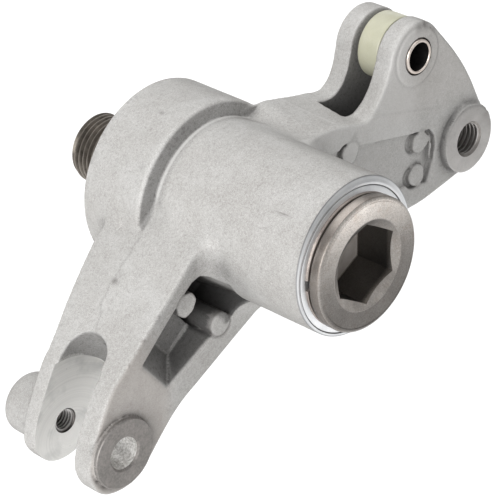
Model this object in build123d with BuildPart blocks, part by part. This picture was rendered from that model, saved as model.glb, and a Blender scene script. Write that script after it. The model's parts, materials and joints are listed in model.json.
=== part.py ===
from build123d import *
import os
import math

# Belt tensioner: lever casting on a large bearing bolt.
# Millimetres. Y is the hub axis, rear (threaded stub) toward +Y, bolt head toward -Y,
# X to the right, Z up. The origin is on the hub axis in the bolt's mounting shoulder.

# --- bearing bolt ---------------------------------------------------------
stub_r = 12.0            # M24 x 2 major radius
stub_len = 30.0
shank_r = 14.0           # plain bearing shank
head_r = 22.1
head_face_y = -94.0
head_back_y = -90.0
hex_af = 24.0
hex_depth = 15.7
hex_mouth_r = 14.82
ring_groove_r = 13.0
ring_y0, ring_y1 = -3.6, -2.0

# --- bushes, seals, washers -----------------------------------------------
bush_ri = 14.04          # running clearance 0.04 on the shank
bush_ro = 16.0
flange_r = 22.0
flange_y0, flange_y1 = -89.3, -88.4
front_bush_end = -62.0
rear_bush_y0, rear_bush_y1 = -36.0, -13.0
seal_ro = 20.0
seal_y0, seal_y1 = -11.5, -5.5
washer_ro = 21.0
washer_y0, washer_y1 = -5.0, -3.8

# --- casting --------------------------------------------------------------
near_y = -51.0           # front plane of both arms
front_y = -88.4          # machined end face of the hub
collar_r = 32.3
collar_y0, collar_y1 = -26.4, -0.4
barrel_c = (0.3, 0.8)    # the cast barrel stands a little off the machined axis
barrel_r = 26.1

# upper arm
up_y1 = -26.0            # rear plane
fork_y0, fork_y1 = -44.0, -33.0
lobe = (70.2, 34.8)      # centre of the rounded ear ends (x, z)
lobe_r = 12.8
sleeve_c = (70.7, 35.3)  # spring sleeve axis
sleeve_ro, sleeve_ri = 6.0, 4.85
sleeve_front_y = -51.7
roller_r = 11.4
roller_y0, roller_y1 = -42.9, -34.2
up_pocket_depth = 1.4
boss = (96.5, -2.15)     # pulley boss axis
boss_r = 12.2
boss_face_y = -53.4
pulley_thread_r = 6.0    # M12

# lower arm
clevis = (-64.6, -56.9)  # damper clevis axis
near_ear_r = 14.0
slot_y0, slot_y1 = -43.4, -25.5
pad_y = -53.0
pad_r = 11.9
ear_hole_r = 5.5
damper_thread_r = 4.0    # M8
far_ear_y = -19.4
rear_boss_r = 10.2
rear_boss_y = -5.5
rear_boss_round = 3.4
arm_dir = math.degrees(math.atan2(-0.655, -0.755))
pocket_y = -41.5
edge_r = 1.1             # rounding of the cast edges

os.makedirs("parts", exist_ok=True)


def at_y(y):
    # sketch plane facing the front (-Y), local x = X, local y = Z
    return Plane.XZ.offset(-y)


# direction of the lower arm: local x runs out along the arm, local y is Y
arm_plane = Plane(origin=(0, 0, 0), x_dir=(math.cos(math.radians(arm_dir)), 0, math.sin(math.radians(arm_dir))),
                  z_dir=(-math.sin(math.radians(arm_dir)), 0, math.cos(math.radians(arm_dir))))

# shape of the hollow in the front of the lower arm: steep walls, sloped outer end
with BuildPart() as pocket_shape:
    with BuildSketch(at_y(pocket_y)):
        with BuildLine():
            FilletPolyline((-58.2, -36.2), (-44.6, -22.3), (-35.4, -13.8), (-30.6, -11.2), (-25.6, -15.6), (-14.8, -26.0),
                           (-18.4, -28.8), (-30.6, -35.2), (-47.2, -44.2), (-58.2, -36.2), radius=1.6)
        make_face()
    extrude(amount=15.5, taper=-7.0)
    with BuildSketch(arm_plane):
        with BuildLine():
            FilletPolyline((12.0, -58.0), (12.0, pocket_y), (52.3, pocket_y), (70.0, -58.0), (12.0, -58.0), radius=1.2)
        make_face()
    extrude(amount=42.0, both=True, mode=Mode.INTERSECT)

# concave blend of the arm fronts into the barrel: a flared ring cut to the arm outlines
with BuildPart() as blend_shape:
    with BuildSketch(Plane.XY):
        with BuildLine():
            Polyline((20.0, near_y - 5.0), (26.3, near_y - 5.0))
            ThreePointArc((26.3, near_y - 5.0), (28.2, near_y - 1.6), (31.7, near_y))
            Polyline((31.7, near_y), (31.7, near_y + 1.0), (20.0, near_y + 1.0), (20.0, near_y - 5.0))
        make_face()
    revolve(axis=Axis.Y)
    with BuildSketch(at_y(near_y + 2.0)):
        with BuildLine():
            Polyline((0.0, 0.0), (-24.6, 9.4), (-52.0, -19.2), (-30.0, -42.0), (6.0, -26.0), (30.0, -20.2), (50.0, -20.0),
                     (50.0, 20.0), (28.0, 23.6), (16.0, 23.6), (8.0, 21.0), (0.0, 0.0))
        make_face()
    extrude(amount=12.0, mode=Mode.INTERSECT)

# plate of the upper arm with both ears of the spring fork, rounded edges
with BuildPart() as upper_plate:
    with BuildSketch(at_y(up_y1)) as up_outline:
        with BuildLine():
            l1 = Polyline((0.0, 20.0), (8.0, 24.0), (16.6, 26.4), (24.0, 26.2), (44.0, 23.0))
            l2 = Spline((44.0, 23.0), (50.4, 22.7), (54.1, 25.4), (56.3, 30.0),
                        (lobe[0] - lobe_r, lobe[1]), tangents=[(39.0, -6.2), (0.0, 1.0)])
            a = math.radians(46)
            p_end = (lobe[0] + lobe_r * math.cos(a), lobe[1] + lobe_r * math.sin(a))
            l3 = ThreePointArc((lobe[0] - lobe_r, lobe[1]),
                               (lobe[0] - lobe_r * math.cos(math.radians(67)), lobe[1] + lobe_r * math.sin(math.radians(67))),
                               p_end)
            l4 = Spline(p_end, (87.2, 35.0), (92.2, 29.1), (96.4, 23.4), (99.9, 17.9), (102.7, 12.6), (105.2, 7.8),
                        tangents=[(math.sin(a), -math.cos(a)), (0.35, -1.0)])
            l5 = Spline((105.2, 7.8), (108.4, 1.2), (107.9, -6.6), (102.6, -13.2), (93.6, -15.5),
                        tangents=[(0.35, -1.0), (-1.0, -0.2)])
            l6 = Spline((93.6, -15.5), (85.0, -17.6), (76.4, -19.4), (67.0, -20.3),
                        tangents=[(-1.0, -0.2), (-47.0, -2.0)])
            l7 = Polyline((67.0, -20.3), (20.0, -22.2), (5.0, -22.8), (0.0, 0.0), (0.0, 20.0))
        make_face()
    extrude(amount=up_y1 - near_y)
    fillet(upper_plate.faces().sort_by(Axis.Y)[0].edges() + upper_plate.faces().sort_by(Axis.Y)[-1].edges(), edge_r)

# plate of the lower arm, cut to its side profile, rounded edges
with BuildPart() as lower_plate:
    with BuildSketch(at_y(-12.0)):
        with BuildLine():
            m1 = Line((-25.2, 8.8), (-64.6, -31.9))
            m2 = Spline((-64.6, -31.9), (-69.0, -37.2), (-73.2, -45.4), (-76.4, -52.0), (clevis[0] - 12.8, clevis[1] - 0.1),
                        tangents=[(-39.4, -40.7), (0.0, -1.0)])
            # round end of the ears, a little off the hole towards the hub
            ec = (clevis[0] - 12.8 + near_ear_r, clevis[1] - 0.1)
            m3 = ThreePointArc((ec[0] - near_ear_r, ec[1]), (ec[0] - near_ear_r * 0.35, ec[1] - near_ear_r * math.sqrt(1 - 0.35 ** 2)),
                               (ec[0] + near_ear_r * 0.72, ec[1] - near_ear_r * math.sqrt(1 - 0.72 ** 2)))
            m4 = Spline((ec[0] + near_ear_r * 0.72, ec[1] - near_ear_r * math.sqrt(1 - 0.72 ** 2)),
                        (-45.2, -57.9), (-36.2, -49.7), (-25.5, -43.4), (-14.7, -37.2), (-3.8, -30.9),
                        tangents=[(math.sqrt(1 - 0.72 ** 2), 0.72), (0.867, 0.498)])
            m5 = Polyline((-3.8, -30.9), (8.0, -24.12), (0.0, 0.0), (-25.2, 8.8))
        make_face()
    extrude(amount=-12.0 - near_y)

    # rear face of the lower arm leans forward from the hub to the clevis
    with BuildSketch(arm_plane):
        with BuildLine():
            Polyline((33.5, -9.0), (33.5, -12.0), (56.0, -15.9), (71.0, far_ear_y), (104.0, far_ear_y),
                     (104.0, -9.0), (33.5, -9.0))
        make_face()
    extrude(amount=42.0, both=True, mode=Mode.SUBTRACT)
    fillet(lower_plate.faces().sort_by(Axis.Y)[0].edges(), edge_r)

# ==========================================================================
# lever casting
# ==========================================================================
with BuildPart() as lever_casting:
    # hub barrel, turned front spigot and rear collar
    with BuildSketch(Plane.XY):
        with BuildLine():
            Polyline(
                (0, front_y), (24.9, front_y), (25.4, front_y + 0.5), (25.4, near_y), (27.6, -30.5), (28.3, -28.2),
                (30.2, -27.0), (31.2, collar_y0), (32.0, -26.0), (collar_r, -25.0), (collar_r, -0.9),
                (31.8, collar_y1), (0, collar_y1), (0, front_y),
            )
        make_face()
    revolve(axis=Axis.Y)
    # cast skin of the barrel
    with BuildSketch(at_y(-31.0)):
        with Locations(barrel_c):
            Circle(barrel_r)
    extrude(amount=-31.0 - front_y - 0.5)

    add(upper_plate.part)

    # pulley boss
    with BuildSketch(at_y(near_y + 1.0)):
        with Locations(boss):
            Circle(boss_r + 0.7)
    extrude(amount=near_y + 1.0 - boss_face_y, taper=12)
    with BuildSketch(at_y(up_y1 + 1.4)):
        with Locations(boss):
            Circle(boss_r)
    extrude(amount=up_y1 + 1.4 - near_y)

    # raised seats round the spring sleeve on both outer ear faces
    with BuildSketch(at_y(near_y + 0.5)):
        with Locations(sleeve_c):
            Circle(10.6)
    extrude(amount=0.9)
    with BuildSketch(at_y(up_y1 + 0.4)):
        with Locations(sleeve_c):
            Circle(10.6)
    extrude(amount=0.9)

    add(lower_plate.part)

    # clevis slot with full-radius root
    slot_r = (slot_y1 - slot_y0) / 2
    slot_c = (slot_y0 + slot_y1) / 2
    with BuildSketch(arm_plane):
        with BuildLine():
            Polyline((104.0, slot_c - slot_r), (69.5, slot_c - slot_r))
            ThreePointArc((69.5, slot_c - slot_r), (69.5 - slot_r, slot_c), (69.5, slot_c + slot_r))
            Polyline((69.5, slot_c + slot_r), (104.0, slot_c + slot_r), (104.0, slot_c - slot_r))
        make_face()
    extrude(amount=42.0, both=True, mode=Mode.SUBTRACT)

    # spring fork gap between the two upper ears
    with BuildSketch(at_y(fork_y1)):
        with BuildLine():
            FilletPolyline((42.3, 60.0), (42.3, 9.0), (78.0, 9.0), (115.0, 33.0), radius=5.0)
            Polyline((115.0, 33.0), (115.0, 60.0), (42.3, 60.0))
        make_face()
    extrude(amount=fork_y1 - fork_y0, mode=Mode.SUBTRACT)

    # rear boss behind the threaded clevis ear, pad on the front ear
    with BuildSketch(at_y(far_ear_y - 1.0)):
        with Locations(clevis):
            Circle(rear_boss_r)
    extrude(amount=-(rear_boss_y - far_ear_y + 1.0), taper=1)
    fillet(lever_casting.faces().sort_by(Axis.Y).filter_by(lambda f: abs(f.center().Y - rear_boss_y) < 0.01 and f.center().X < -40).edges(), rear_boss_round)
    with BuildSketch(at_y(near_y + 0.5)):
        with Locations(clevis):
            Circle(pad_r + 0.5)
    extrude(amount=near_y + 0.5 - pad_y, taper=12)

    add(blend_shape.part)

    # hollow in the front of the lower arm, two ejector stubs and the low rib between them
    add(pocket_shape.part, mode=Mode.SUBTRACT)
    with BuildSketch(at_y(pocket_y + 1.0)):
        with Locations((-35.5, -16.7), (-20.9, -29.0)):
            Circle(4.25)
    extrude(amount=pocket_y + 1.0 - near_y)
    with BuildSketch(at_y(pocket_y + 1.0)):
        with BuildLine():
            Polyline((-34.0, -21.2), (-37.0, -17.6), (-32.4, -14.6), (-19.6, -25.6), (-18.6, -29.4), (-23.0, -32.2), (-34.0, -21.2))
        make_face()
    extrude(amount=6.6)

    # shallow hollow in the front of the upper arm with three flush ejector stubs
    with BuildSketch(at_y(near_y)):
        with BuildLine():
            FilletPolyline((24.0, 14.2), (56.0, 9.6), (78.6, 6.3), (81.2, 1.0), (80.9, -5.0), (77.9, -13.0), (60.0, -10.6),
                           (24.0, -13.0), (24.0, 14.2), radius=2.0)
        make_face()
    extrude(amount=-up_pocket_depth, mode=Mode.SUBTRACT)
    with BuildSketch(at_y(near_y)):
        with Locations((36.6, 11.4), (71.6, 4.1), (70.2, -7.7)):
            Circle(4.3)
    extrude(amount=-3.6, mode=Mode.SUBTRACT)
    with BuildSketch(at_y(near_y + 4.0)):
        with Locations((38.8, 10.6), (73.8, 3.3), (72.4, -8.5)):
            Circle(4.0)
    extrude(amount=4.1)

    # hub bore: two bush seats with a relief between them, seal seat and rear recess
    with BuildSketch(Plane.XY):
        with BuildLine():
            Polyline(
                (0, front_y - 1), (bush_ro + 0.6, front_y - 1), (bush_ro + 0.6, front_y), (bush_ro, front_y + 0.6),
                (bush_ro, -61.0), (17.0, -60.0), (17.0, -37.0), (bush_ro, -36.0), (bush_ro, -12.5),
                (17.2, -12.5), (17.2, -12.0), (seal_ro, -12.0), (seal_ro, washer_y0), (22.5, washer_y0), (22.5, collar_y1 - 0.5),
                (23.0, collar_y1), (23.0, collar_y1 + 1), (0, collar_y1 + 1), (0, front_y - 1),
            )
        make_face()
    revolve(axis=Axis.Y, mode=Mode.SUBTRACT)

    # spring sleeve bore through both fork ears
    with BuildSketch(at_y(up_y1 + 2)):
        with Locations(sleeve_c):
            Circle(sleeve_ro)
    extrude(amount=up_y1 + 2 - (near_y - 2), mode=Mode.SUBTRACT)

    # threaded hole of the pulley boss, chamfered mouths
    with BuildSketch(at_y(up_y1 + 3)):
        with Locations(boss):
            Circle(pulley_thread_r)
    extrude(amount=up_y1 + 3 - (boss_face_y - 2), mode=Mode.SUBTRACT)

    with BuildSketch(at_y(boss_face_y + 0.9)):
        with Locations(boss):
            Circle(pulley_thread_r)
    extrude(amount=1.0, taper=-45, mode=Mode.SUBTRACT)
    with BuildSketch(at_y(up_y1 + 1.4)):
        with Locations(boss):
            Circle(pulley_thread_r + 0.6)
    extrude(amount=0.6, taper=45, mode=Mode.SUBTRACT)

    # screw hole of the clevis: plain in the front ear, threaded in the rear ear
    with BuildSketch(at_y(slot_c)):
        with Locations(clevis):
            Circle(ear_hole_r)
    extrude(amount=slot_c - (pad_y - 2), mode=Mode.SUBTRACT)
    with BuildSketch(at_y(slot_c)):
        with Locations(clevis):
            Circle(damper_thread_r)
    extrude(amount=-(rear_boss_y - 2.4 - slot_c), mode=Mode.SUBTRACT)
    # milled face of the rear clevis ear, chamfered hole mouths
    with BuildSketch(at_y(slot_y1 + 0.5)):
        with Locations(clevis):
            Circle(22.4)
    extrude(amount=2.0, mode=Mode.SUBTRACT)
    with BuildSketch(at_y(slot_y1 + 1.1)):
        with Locations(clevis):
            Circle(damper_thread_r)
    extrude(amount=0.7, taper=-45, mode=Mode.SUBTRACT)
    with BuildSketch(at_y(pad_y + 0.4)):
        with Locations(clevis):
            Circle(ear_hole_r)
    extrude(amount=0.5, taper=-45, mode=Mode.SUBTRACT)

lever_casting.part.label = "lever_casting"
lever_casting.part.color = Color(0.72, 0.71, 0.70)

# ==========================================================================
# bearing bolt
# ==========================================================================
with BuildPart() as bearing_bolt:
    with BuildSketch(Plane.XY):
        with BuildLine():
            Polyline(
                (0, head_face_y), (21.3, head_face_y), (head_r, -93.3), (head_r, -90.3), (head_r - 0.3, head_back_y),
                (18.6, head_back_y), (18.6, -91.4), (16.4, -91.4), (16.4, head_back_y), (shank_r, head_back_y),
                (shank_r, ring_y0), (ring_groove_r, ring_y0), (ring_groove_r, ring_y1), (shank_r, ring_y1),
                (shank_r, -0.4), (shank_r - 0.4, 0), (stub_r, 0),
                (stub_r, stub_len - 1.4), (stub_r - 1.4, stub_len), (0, stub_len), (0, head_face_y),
            )
        make_face()
    revolve(axis=Axis.Y)
    # hexagon socket with countersunk mouth and a flat floor
    with BuildSketch(at_y(head_face_y + hex_depth)):
        RegularPolygon(radius=hex_af / 2, side_count=6, major_radius=False, rotation=31.7)
    extrude(amount=hex_depth + 1, mode=Mode.SUBTRACT)
    with BuildSketch(Plane.XY):
        with BuildLine():
            Polyline((0, head_face_y - 0.01), (hex_mouth_r, head_face_y - 0.01), (hex_mouth_r, head_face_y), (11.6, head_face_y + 1.9),
                     (0, head_face_y + 1.9), (0, head_face_y - 0.01))
        make_face()
    revolve(axis=Axis.Y, mode=Mode.SUBTRACT)
bearing_bolt.part.label = "bearing_bolt"
bearing_bolt.part.color = Color(0.45, 0.43, 0.41)

# ==========================================================================
# front bush: wrapped sleeve with a split flange
# ==========================================================================
with BuildPart() as front_bush:
    with BuildSketch(Plane.XY):
        with BuildLine():
            Polyline(
                (bush_ri, flange_y0 + 0.5), (bush_ri + 0.5, flange_y0), (flange_r, flange_y0), (flange_r, flange_y1),
                (bush_ro, flange_y1), (bush_ro, front_bush_end - 0.4), (bush_ro - 0.4, front_bush_end),
                (bush_ri + 0.3, front_bush_end), (bush_ri, front_bush_end - 0.3), (bush_ri, flange_y0 + 0.5),
            )
        make_face()
    revolve(axis=Axis.Y)
    with BuildSketch(at_y(front_bush_end + 1)):
        with Locations(Location((-19.0, -1.6), 0)):
            Rectangle(12.0, 1.0)
    extrude(amount=30.0, mode=Mode.SUBTRACT)
front_bush.part.label = "front_bush"
front_bush.part.color = Color(0.75, 0.75, 0.76)

# ==========================================================================
# rear bush
# ==========================================================================
with BuildPart() as rear_bush:
    with BuildSketch(Plane.XY):
        with BuildLine():
            Polyline(
                (bush_ri, rear_bush_y0 + 0.3), (bush_ri + 0.3, rear_bush_y0), (bush_ro - 0.4, rear_bush_y0), (bush_ro, rear_bush_y0 + 0.4),
                (bush_ro, rear_bush_y1 - 0.4), (bush_ro - 0.4, rear_bush_y1), (bush_ri + 0.3, rear_bush_y1), (bush_ri, rear_bush_y1 - 0.3),
                (bush_ri, rear_bush_y0 + 0.3),
            )
        make_face()
    revolve(axis=Axis.Y)
    with BuildSketch(at_y(rear_bush_y1 + 1)):
        with Locations((-15.0, 0)):
            Rectangle(4.0, 0.8)
    extrude(amount=26.0, mode=Mode.SUBTRACT)
rear_bush.part.label = "rear_bush"
rear_bush.part.color = Color(0.72, 0.70, 0.66)

# ==========================================================================
# front seal ring, in the ring groove under the bolt head
# ==========================================================================
with BuildPart() as front_seal_ring:
    with BuildSketch(Plane.XY):
        with Locations((17.5, -90.5)):
            Circle(0.9)
    revolve(axis=Axis.Y)
front_seal_ring.part.label = "front_seal_ring"
front_seal_ring.part.color = Color(0.05, 0.05, 0.05)

# ==========================================================================
# rear shaft seal: ring with a lip toward the shank
# ==========================================================================
with BuildPart() as rear_shaft_seal:
    with BuildSketch(Plane.XY):
        with BuildLine():
            Polyline(
                (seal_ro - 0.3, seal_y0), (seal_ro, seal_y0 + 0.3), (seal_ro, seal_y1 - 0.3), (seal_ro - 0.3, seal_y1),
                (15.4, seal_y1), (14.07, seal_y1 - 0.6), (14.07, seal_y1 - 1.2), (15.6, seal_y1 - 2.0), (18.4, seal_y1 - 2.2),
                (18.4, seal_y0 + 1.4), (15.4, seal_y0 + 1.4), (15.4, seal_y0), (seal_ro - 0.3, seal_y0),
            )
        make_face()
    revolve(axis=Axis.Y)
rear_shaft_seal.part.label = "rear_shaft_seal"
rear_shaft_seal.part.color = Color(0.07, 0.07, 0.07)

# ==========================================================================
# rear thrust washer
# ==========================================================================
with BuildPart() as rear_thrust_washer:
    with BuildSketch(Plane.XY):
        with BuildLine():
            Polyline(
                (14.3, washer_y0), (washer_ro, washer_y0), (washer_ro, washer_y1 - 0.2), (washer_ro - 0.2, washer_y1),
                (14.5, washer_y1), (14.3, washer_y1 - 0.2), (14.3, washer_y0),
            )
        make_face()
    revolve(axis=Axis.Y)
rear_thrust_washer.part.label = "rear_thrust_washer"
rear_thrust_washer.part.color = Color(0.55, 0.54, 0.52)

# ==========================================================================
# retaining ring in the groove of the shank, with its gap and two ears
# ==========================================================================
with BuildPart() as retaining_ring:
    with BuildSketch(at_y(ring_y1)):
        Circle(15.8)
        Circle(ring_groove_r, mode=Mode.SUBTRACT)
        with Locations((-2.6, 17.0), (2.6, 17.0)):
            Circle(2.2)
        with Locations((0, 16.0)):
            Rectangle(2.0, 10.0, mode=Mode.SUBTRACT)
        with Locations((-2.9, 17.2), (2.9, 17.2)):
            Circle(0.9, mode=Mode.SUBTRACT)
    extrude(amount=ring_y1 - ring_y0 - 0.1)
retaining_ring.part.label = "retaining_ring"
retaining_ring.part.color = Color(0.25, 0.25, 0.26)

# ==========================================================================
# spring sleeve and roller in the fork
# ==========================================================================
with BuildPart() as spring_sleeve:
    with BuildSketch(at_y(up_y1 + 0.7)):
        with Locations(sleeve_c):
            Circle(sleeve_ro)
            Circle(sleeve_ri, mode=Mode.SUBTRACT)
    extrude(amount=up_y1 + 0.7 - sleeve_front_y)
    sleeve_ends = spring_sleeve.edges().filter_by(GeomType.CIRCLE).group_by(SortBy.RADIUS)
    chamfer(sleeve_ends[-1], 0.4)
    chamfer(sleeve_ends[0], 0.3)
spring_sleeve.part.label = "spring_sleeve"
spring_sleeve.part.color = Color(0.6, 0.58, 0.56)

with BuildPart() as spring_roller:
    with BuildSketch(at_y(roller_y1)):
        with Locations(sleeve_c):
            Circle(roller_r)
            Circle(sleeve_ro + 0.08, mode=Mode.SUBTRACT)
    extrude(amount=roller_y1 - roller_y0)
    chamfer(spring_roller.edges().filter_by(GeomType.CIRCLE).group_by(SortBy.RADIUS)[-1], 0.6)
spring_roller.part.label = "spring_roller"
spring_roller.part.color = Color(0.87, 0.85, 0.70)

for piece in (lever_casting, bearing_bolt, front_bush, rear_bush, front_seal_ring, rear_shaft_seal,
              rear_thrust_washer, retaining_ring, spring_sleeve, spring_roller):
    export_step(piece.part, "parts/" + piece.part.label + ".step")
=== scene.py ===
import json
import math
import bpy
import bmesh
import numpy as np
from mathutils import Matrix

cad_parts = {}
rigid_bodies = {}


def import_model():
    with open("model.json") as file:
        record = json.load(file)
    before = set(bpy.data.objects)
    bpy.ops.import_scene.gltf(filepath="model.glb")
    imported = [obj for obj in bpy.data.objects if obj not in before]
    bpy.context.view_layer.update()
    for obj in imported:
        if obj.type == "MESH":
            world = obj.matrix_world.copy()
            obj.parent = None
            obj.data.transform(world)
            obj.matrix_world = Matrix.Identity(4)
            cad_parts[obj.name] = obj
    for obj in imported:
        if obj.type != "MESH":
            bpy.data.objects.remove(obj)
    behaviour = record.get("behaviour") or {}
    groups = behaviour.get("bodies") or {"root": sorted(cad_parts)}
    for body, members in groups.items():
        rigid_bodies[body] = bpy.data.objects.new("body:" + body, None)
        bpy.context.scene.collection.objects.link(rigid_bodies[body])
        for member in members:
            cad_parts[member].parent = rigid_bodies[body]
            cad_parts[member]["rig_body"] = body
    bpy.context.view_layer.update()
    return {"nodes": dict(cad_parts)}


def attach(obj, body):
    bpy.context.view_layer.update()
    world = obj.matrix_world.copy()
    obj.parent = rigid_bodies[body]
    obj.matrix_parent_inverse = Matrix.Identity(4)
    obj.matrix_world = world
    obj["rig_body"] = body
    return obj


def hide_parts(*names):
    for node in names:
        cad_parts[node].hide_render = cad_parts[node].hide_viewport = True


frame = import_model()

import openvdb
from mathutils import Matrix, Vector

nodes = frame["nodes"]
MM = 0.001
F4 = np.float32

# key places, in millimetres, (x, z) on the XZ plane
LOBE = (70.2, 34.8)
SLEEVE = (70.7, 35.3)
BOSS = (96.5, -2.15)
CLEVIS = (-64.6, -56.9)
BARREL = (0.3, 0.8)


def lin(r, g, b):
    out = []
    for c in (r, g, b):
        c = c / 255.0
        out.append(c / 12.92 if c <= 0.04045 else ((c + 0.055) / 1.055) ** 2.4)
    return (out[0], out[1], out[2], 1.0)


# ==========================================================================
# materials
# ==========================================================================
class Mat:
    """Small helper that builds a node material step by step."""

    def __init__(self, name):
        self.m = bpy.data.materials.new(name)
        self.m.use_nodes = True
        self.t = self.m.node_tree
        self.t.nodes.clear()
        self.out = self.t.nodes.new("ShaderNodeOutputMaterial")
        self.p = self.t.nodes.new("ShaderNodeBsdfPrincipled")
        self.t.links.new(self.p.outputs[0], self.out.inputs[0])
        self.co = self.t.nodes.new("ShaderNodeTexCoord").outputs["Object"]

    def put(self, sock, value):
        if hasattr(value, "is_output") or isinstance(value, bpy.types.NodeSocket):
            self.t.links.new(value, sock)
        else:
            sock.default_value = value

    def math(self, op, a, b=0.0, clamp=False):
        n = self.t.nodes.new("ShaderNodeMath")
        n.operation = op
        n.use_clamp = clamp
        self.put(n.inputs[0], a)
        self.put(n.inputs[1], b)
        return n.outputs[0]

    def noise(self, scale, detail=2.0, rough=0.5, vec=None, dist=0.0, dims="3D"):
        n = self.t.nodes.new("ShaderNodeTexNoise")
        n.noise_dimensions = dims
        n.inputs["Scale"].default_value = scale
        n.inputs["Detail"].default_value = detail
        n.inputs["Roughness"].default_value = rough
        n.inputs["Distortion"].default_value = dist
        if dims == "1D":
            self.put(n.inputs["W"], vec)
        else:
            self.put(n.inputs["Vector"], vec if vec is not None else self.co)
        return n.outputs["Fac"]

    def voronoi(self, scale, feature="F1", vec=None):
        n = self.t.nodes.new("ShaderNodeTexVoronoi")
        n.feature = feature
        n.inputs["Scale"].default_value = scale
        self.put(n.inputs["Vector"], vec if vec is not None else self.co)
        return n.outputs["Distance"]

    def xyz(self, vec=None):
        n = self.t.nodes.new("ShaderNodeSeparateXYZ")
        self.put(n.inputs[0], vec if vec is not None else self.co)
        return n.outputs

    def radius(self, cx, cz):
        """distance from an axis along Y through (cx, cz) in millimetres"""
        s = self.xyz()
        dx = self.math("SUBTRACT", s[0], cx * MM)
        dz = self.math("SUBTRACT", s[2], cz * MM)
        q = self.math("ADD", self.math("MULTIPLY", dx, dx), self.math("MULTIPLY", dz, dz))
        return self.math("MULTIPLY", self.math("SQRT", q), 1000.0)

    def ramp(self, fac, stops, interp="LINEAR"):
        n = self.t.nodes.new("ShaderNodeValToRGB")
        n.color_ramp.interpolation = interp
        e = n.color_ramp.elements
        while len(e) > 1:
            e.remove(e[-1])
        e[0].position = stops[0][0]
        e[0].color = self._c(stops[0][1])
        for pos, c in stops[1:]:
            el = e.new(pos)
            el.color = self._c(c)
        self.put(n.inputs[0], fac)
        return n.outputs[0]

    @staticmethod
    def _c(c):
        return (c, c, c, 1.0) if isinstance(c, (int, float)) else c

    def mix(self, fac, a, b, mode="MIX"):
        n = self.t.nodes.new("ShaderNodeMix")
        n.data_type = "RGBA"
        n.blend_type = mode
        self.put(n.inputs[0], fac)
        self.put(n.inputs[6], a)
        self.put(n.inputs[7], b)
        return n.outputs[2]

    def maprange(self, v, a, b, c=0.0, d=1.0, smooth=False):
        n = self.t.nodes.new("ShaderNodeMapRange")
        n.clamp = True
        n.interpolation_type = "SMOOTHSTEP" if smooth else "LINEAR"
        self.put(n.inputs[0], v)
        n.inputs[1].default_value = a
        n.inputs[2].default_value = b
        n.inputs[3].default_value = c
        n.inputs[4].default_value = d
        return n.outputs[0]

    def attr(self, name):
        n = self.t.nodes.new("ShaderNodeAttribute")
        n.attribute_name = name
        n.attribute_type = "GEOMETRY"
        return n.outputs["Fac"]

    def bump(self, height, strength, dist_mm, normal=None):
        n = self.t.nodes.new("ShaderNodeBump")
        n.inputs["Strength"].default_value = strength
        n.inputs["Distance"].default_value = dist_mm * MM
        self.put(n.inputs["Height"], height)
        if normal is not None:
            self.put(n.inputs["Normal"], normal)
        return n.outputs[0]

    def done(self, color=None, rough=None, metal=None, normal=None, **kw):
        p = self.p
        if color is not None:
            self.put(p.inputs["Base Color"], color)
        if rough is not None:
            self.put(p.inputs["Roughness"], rough)
        if metal is not None:
            p.inputs["Metallic"].default_value = metal
        if normal is not None:
            self.put(p.inputs["Normal"], normal)
        for k, v in kw.items():
            self.put(p.inputs[k.replace("_", " ")], v)
        return self.m


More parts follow.
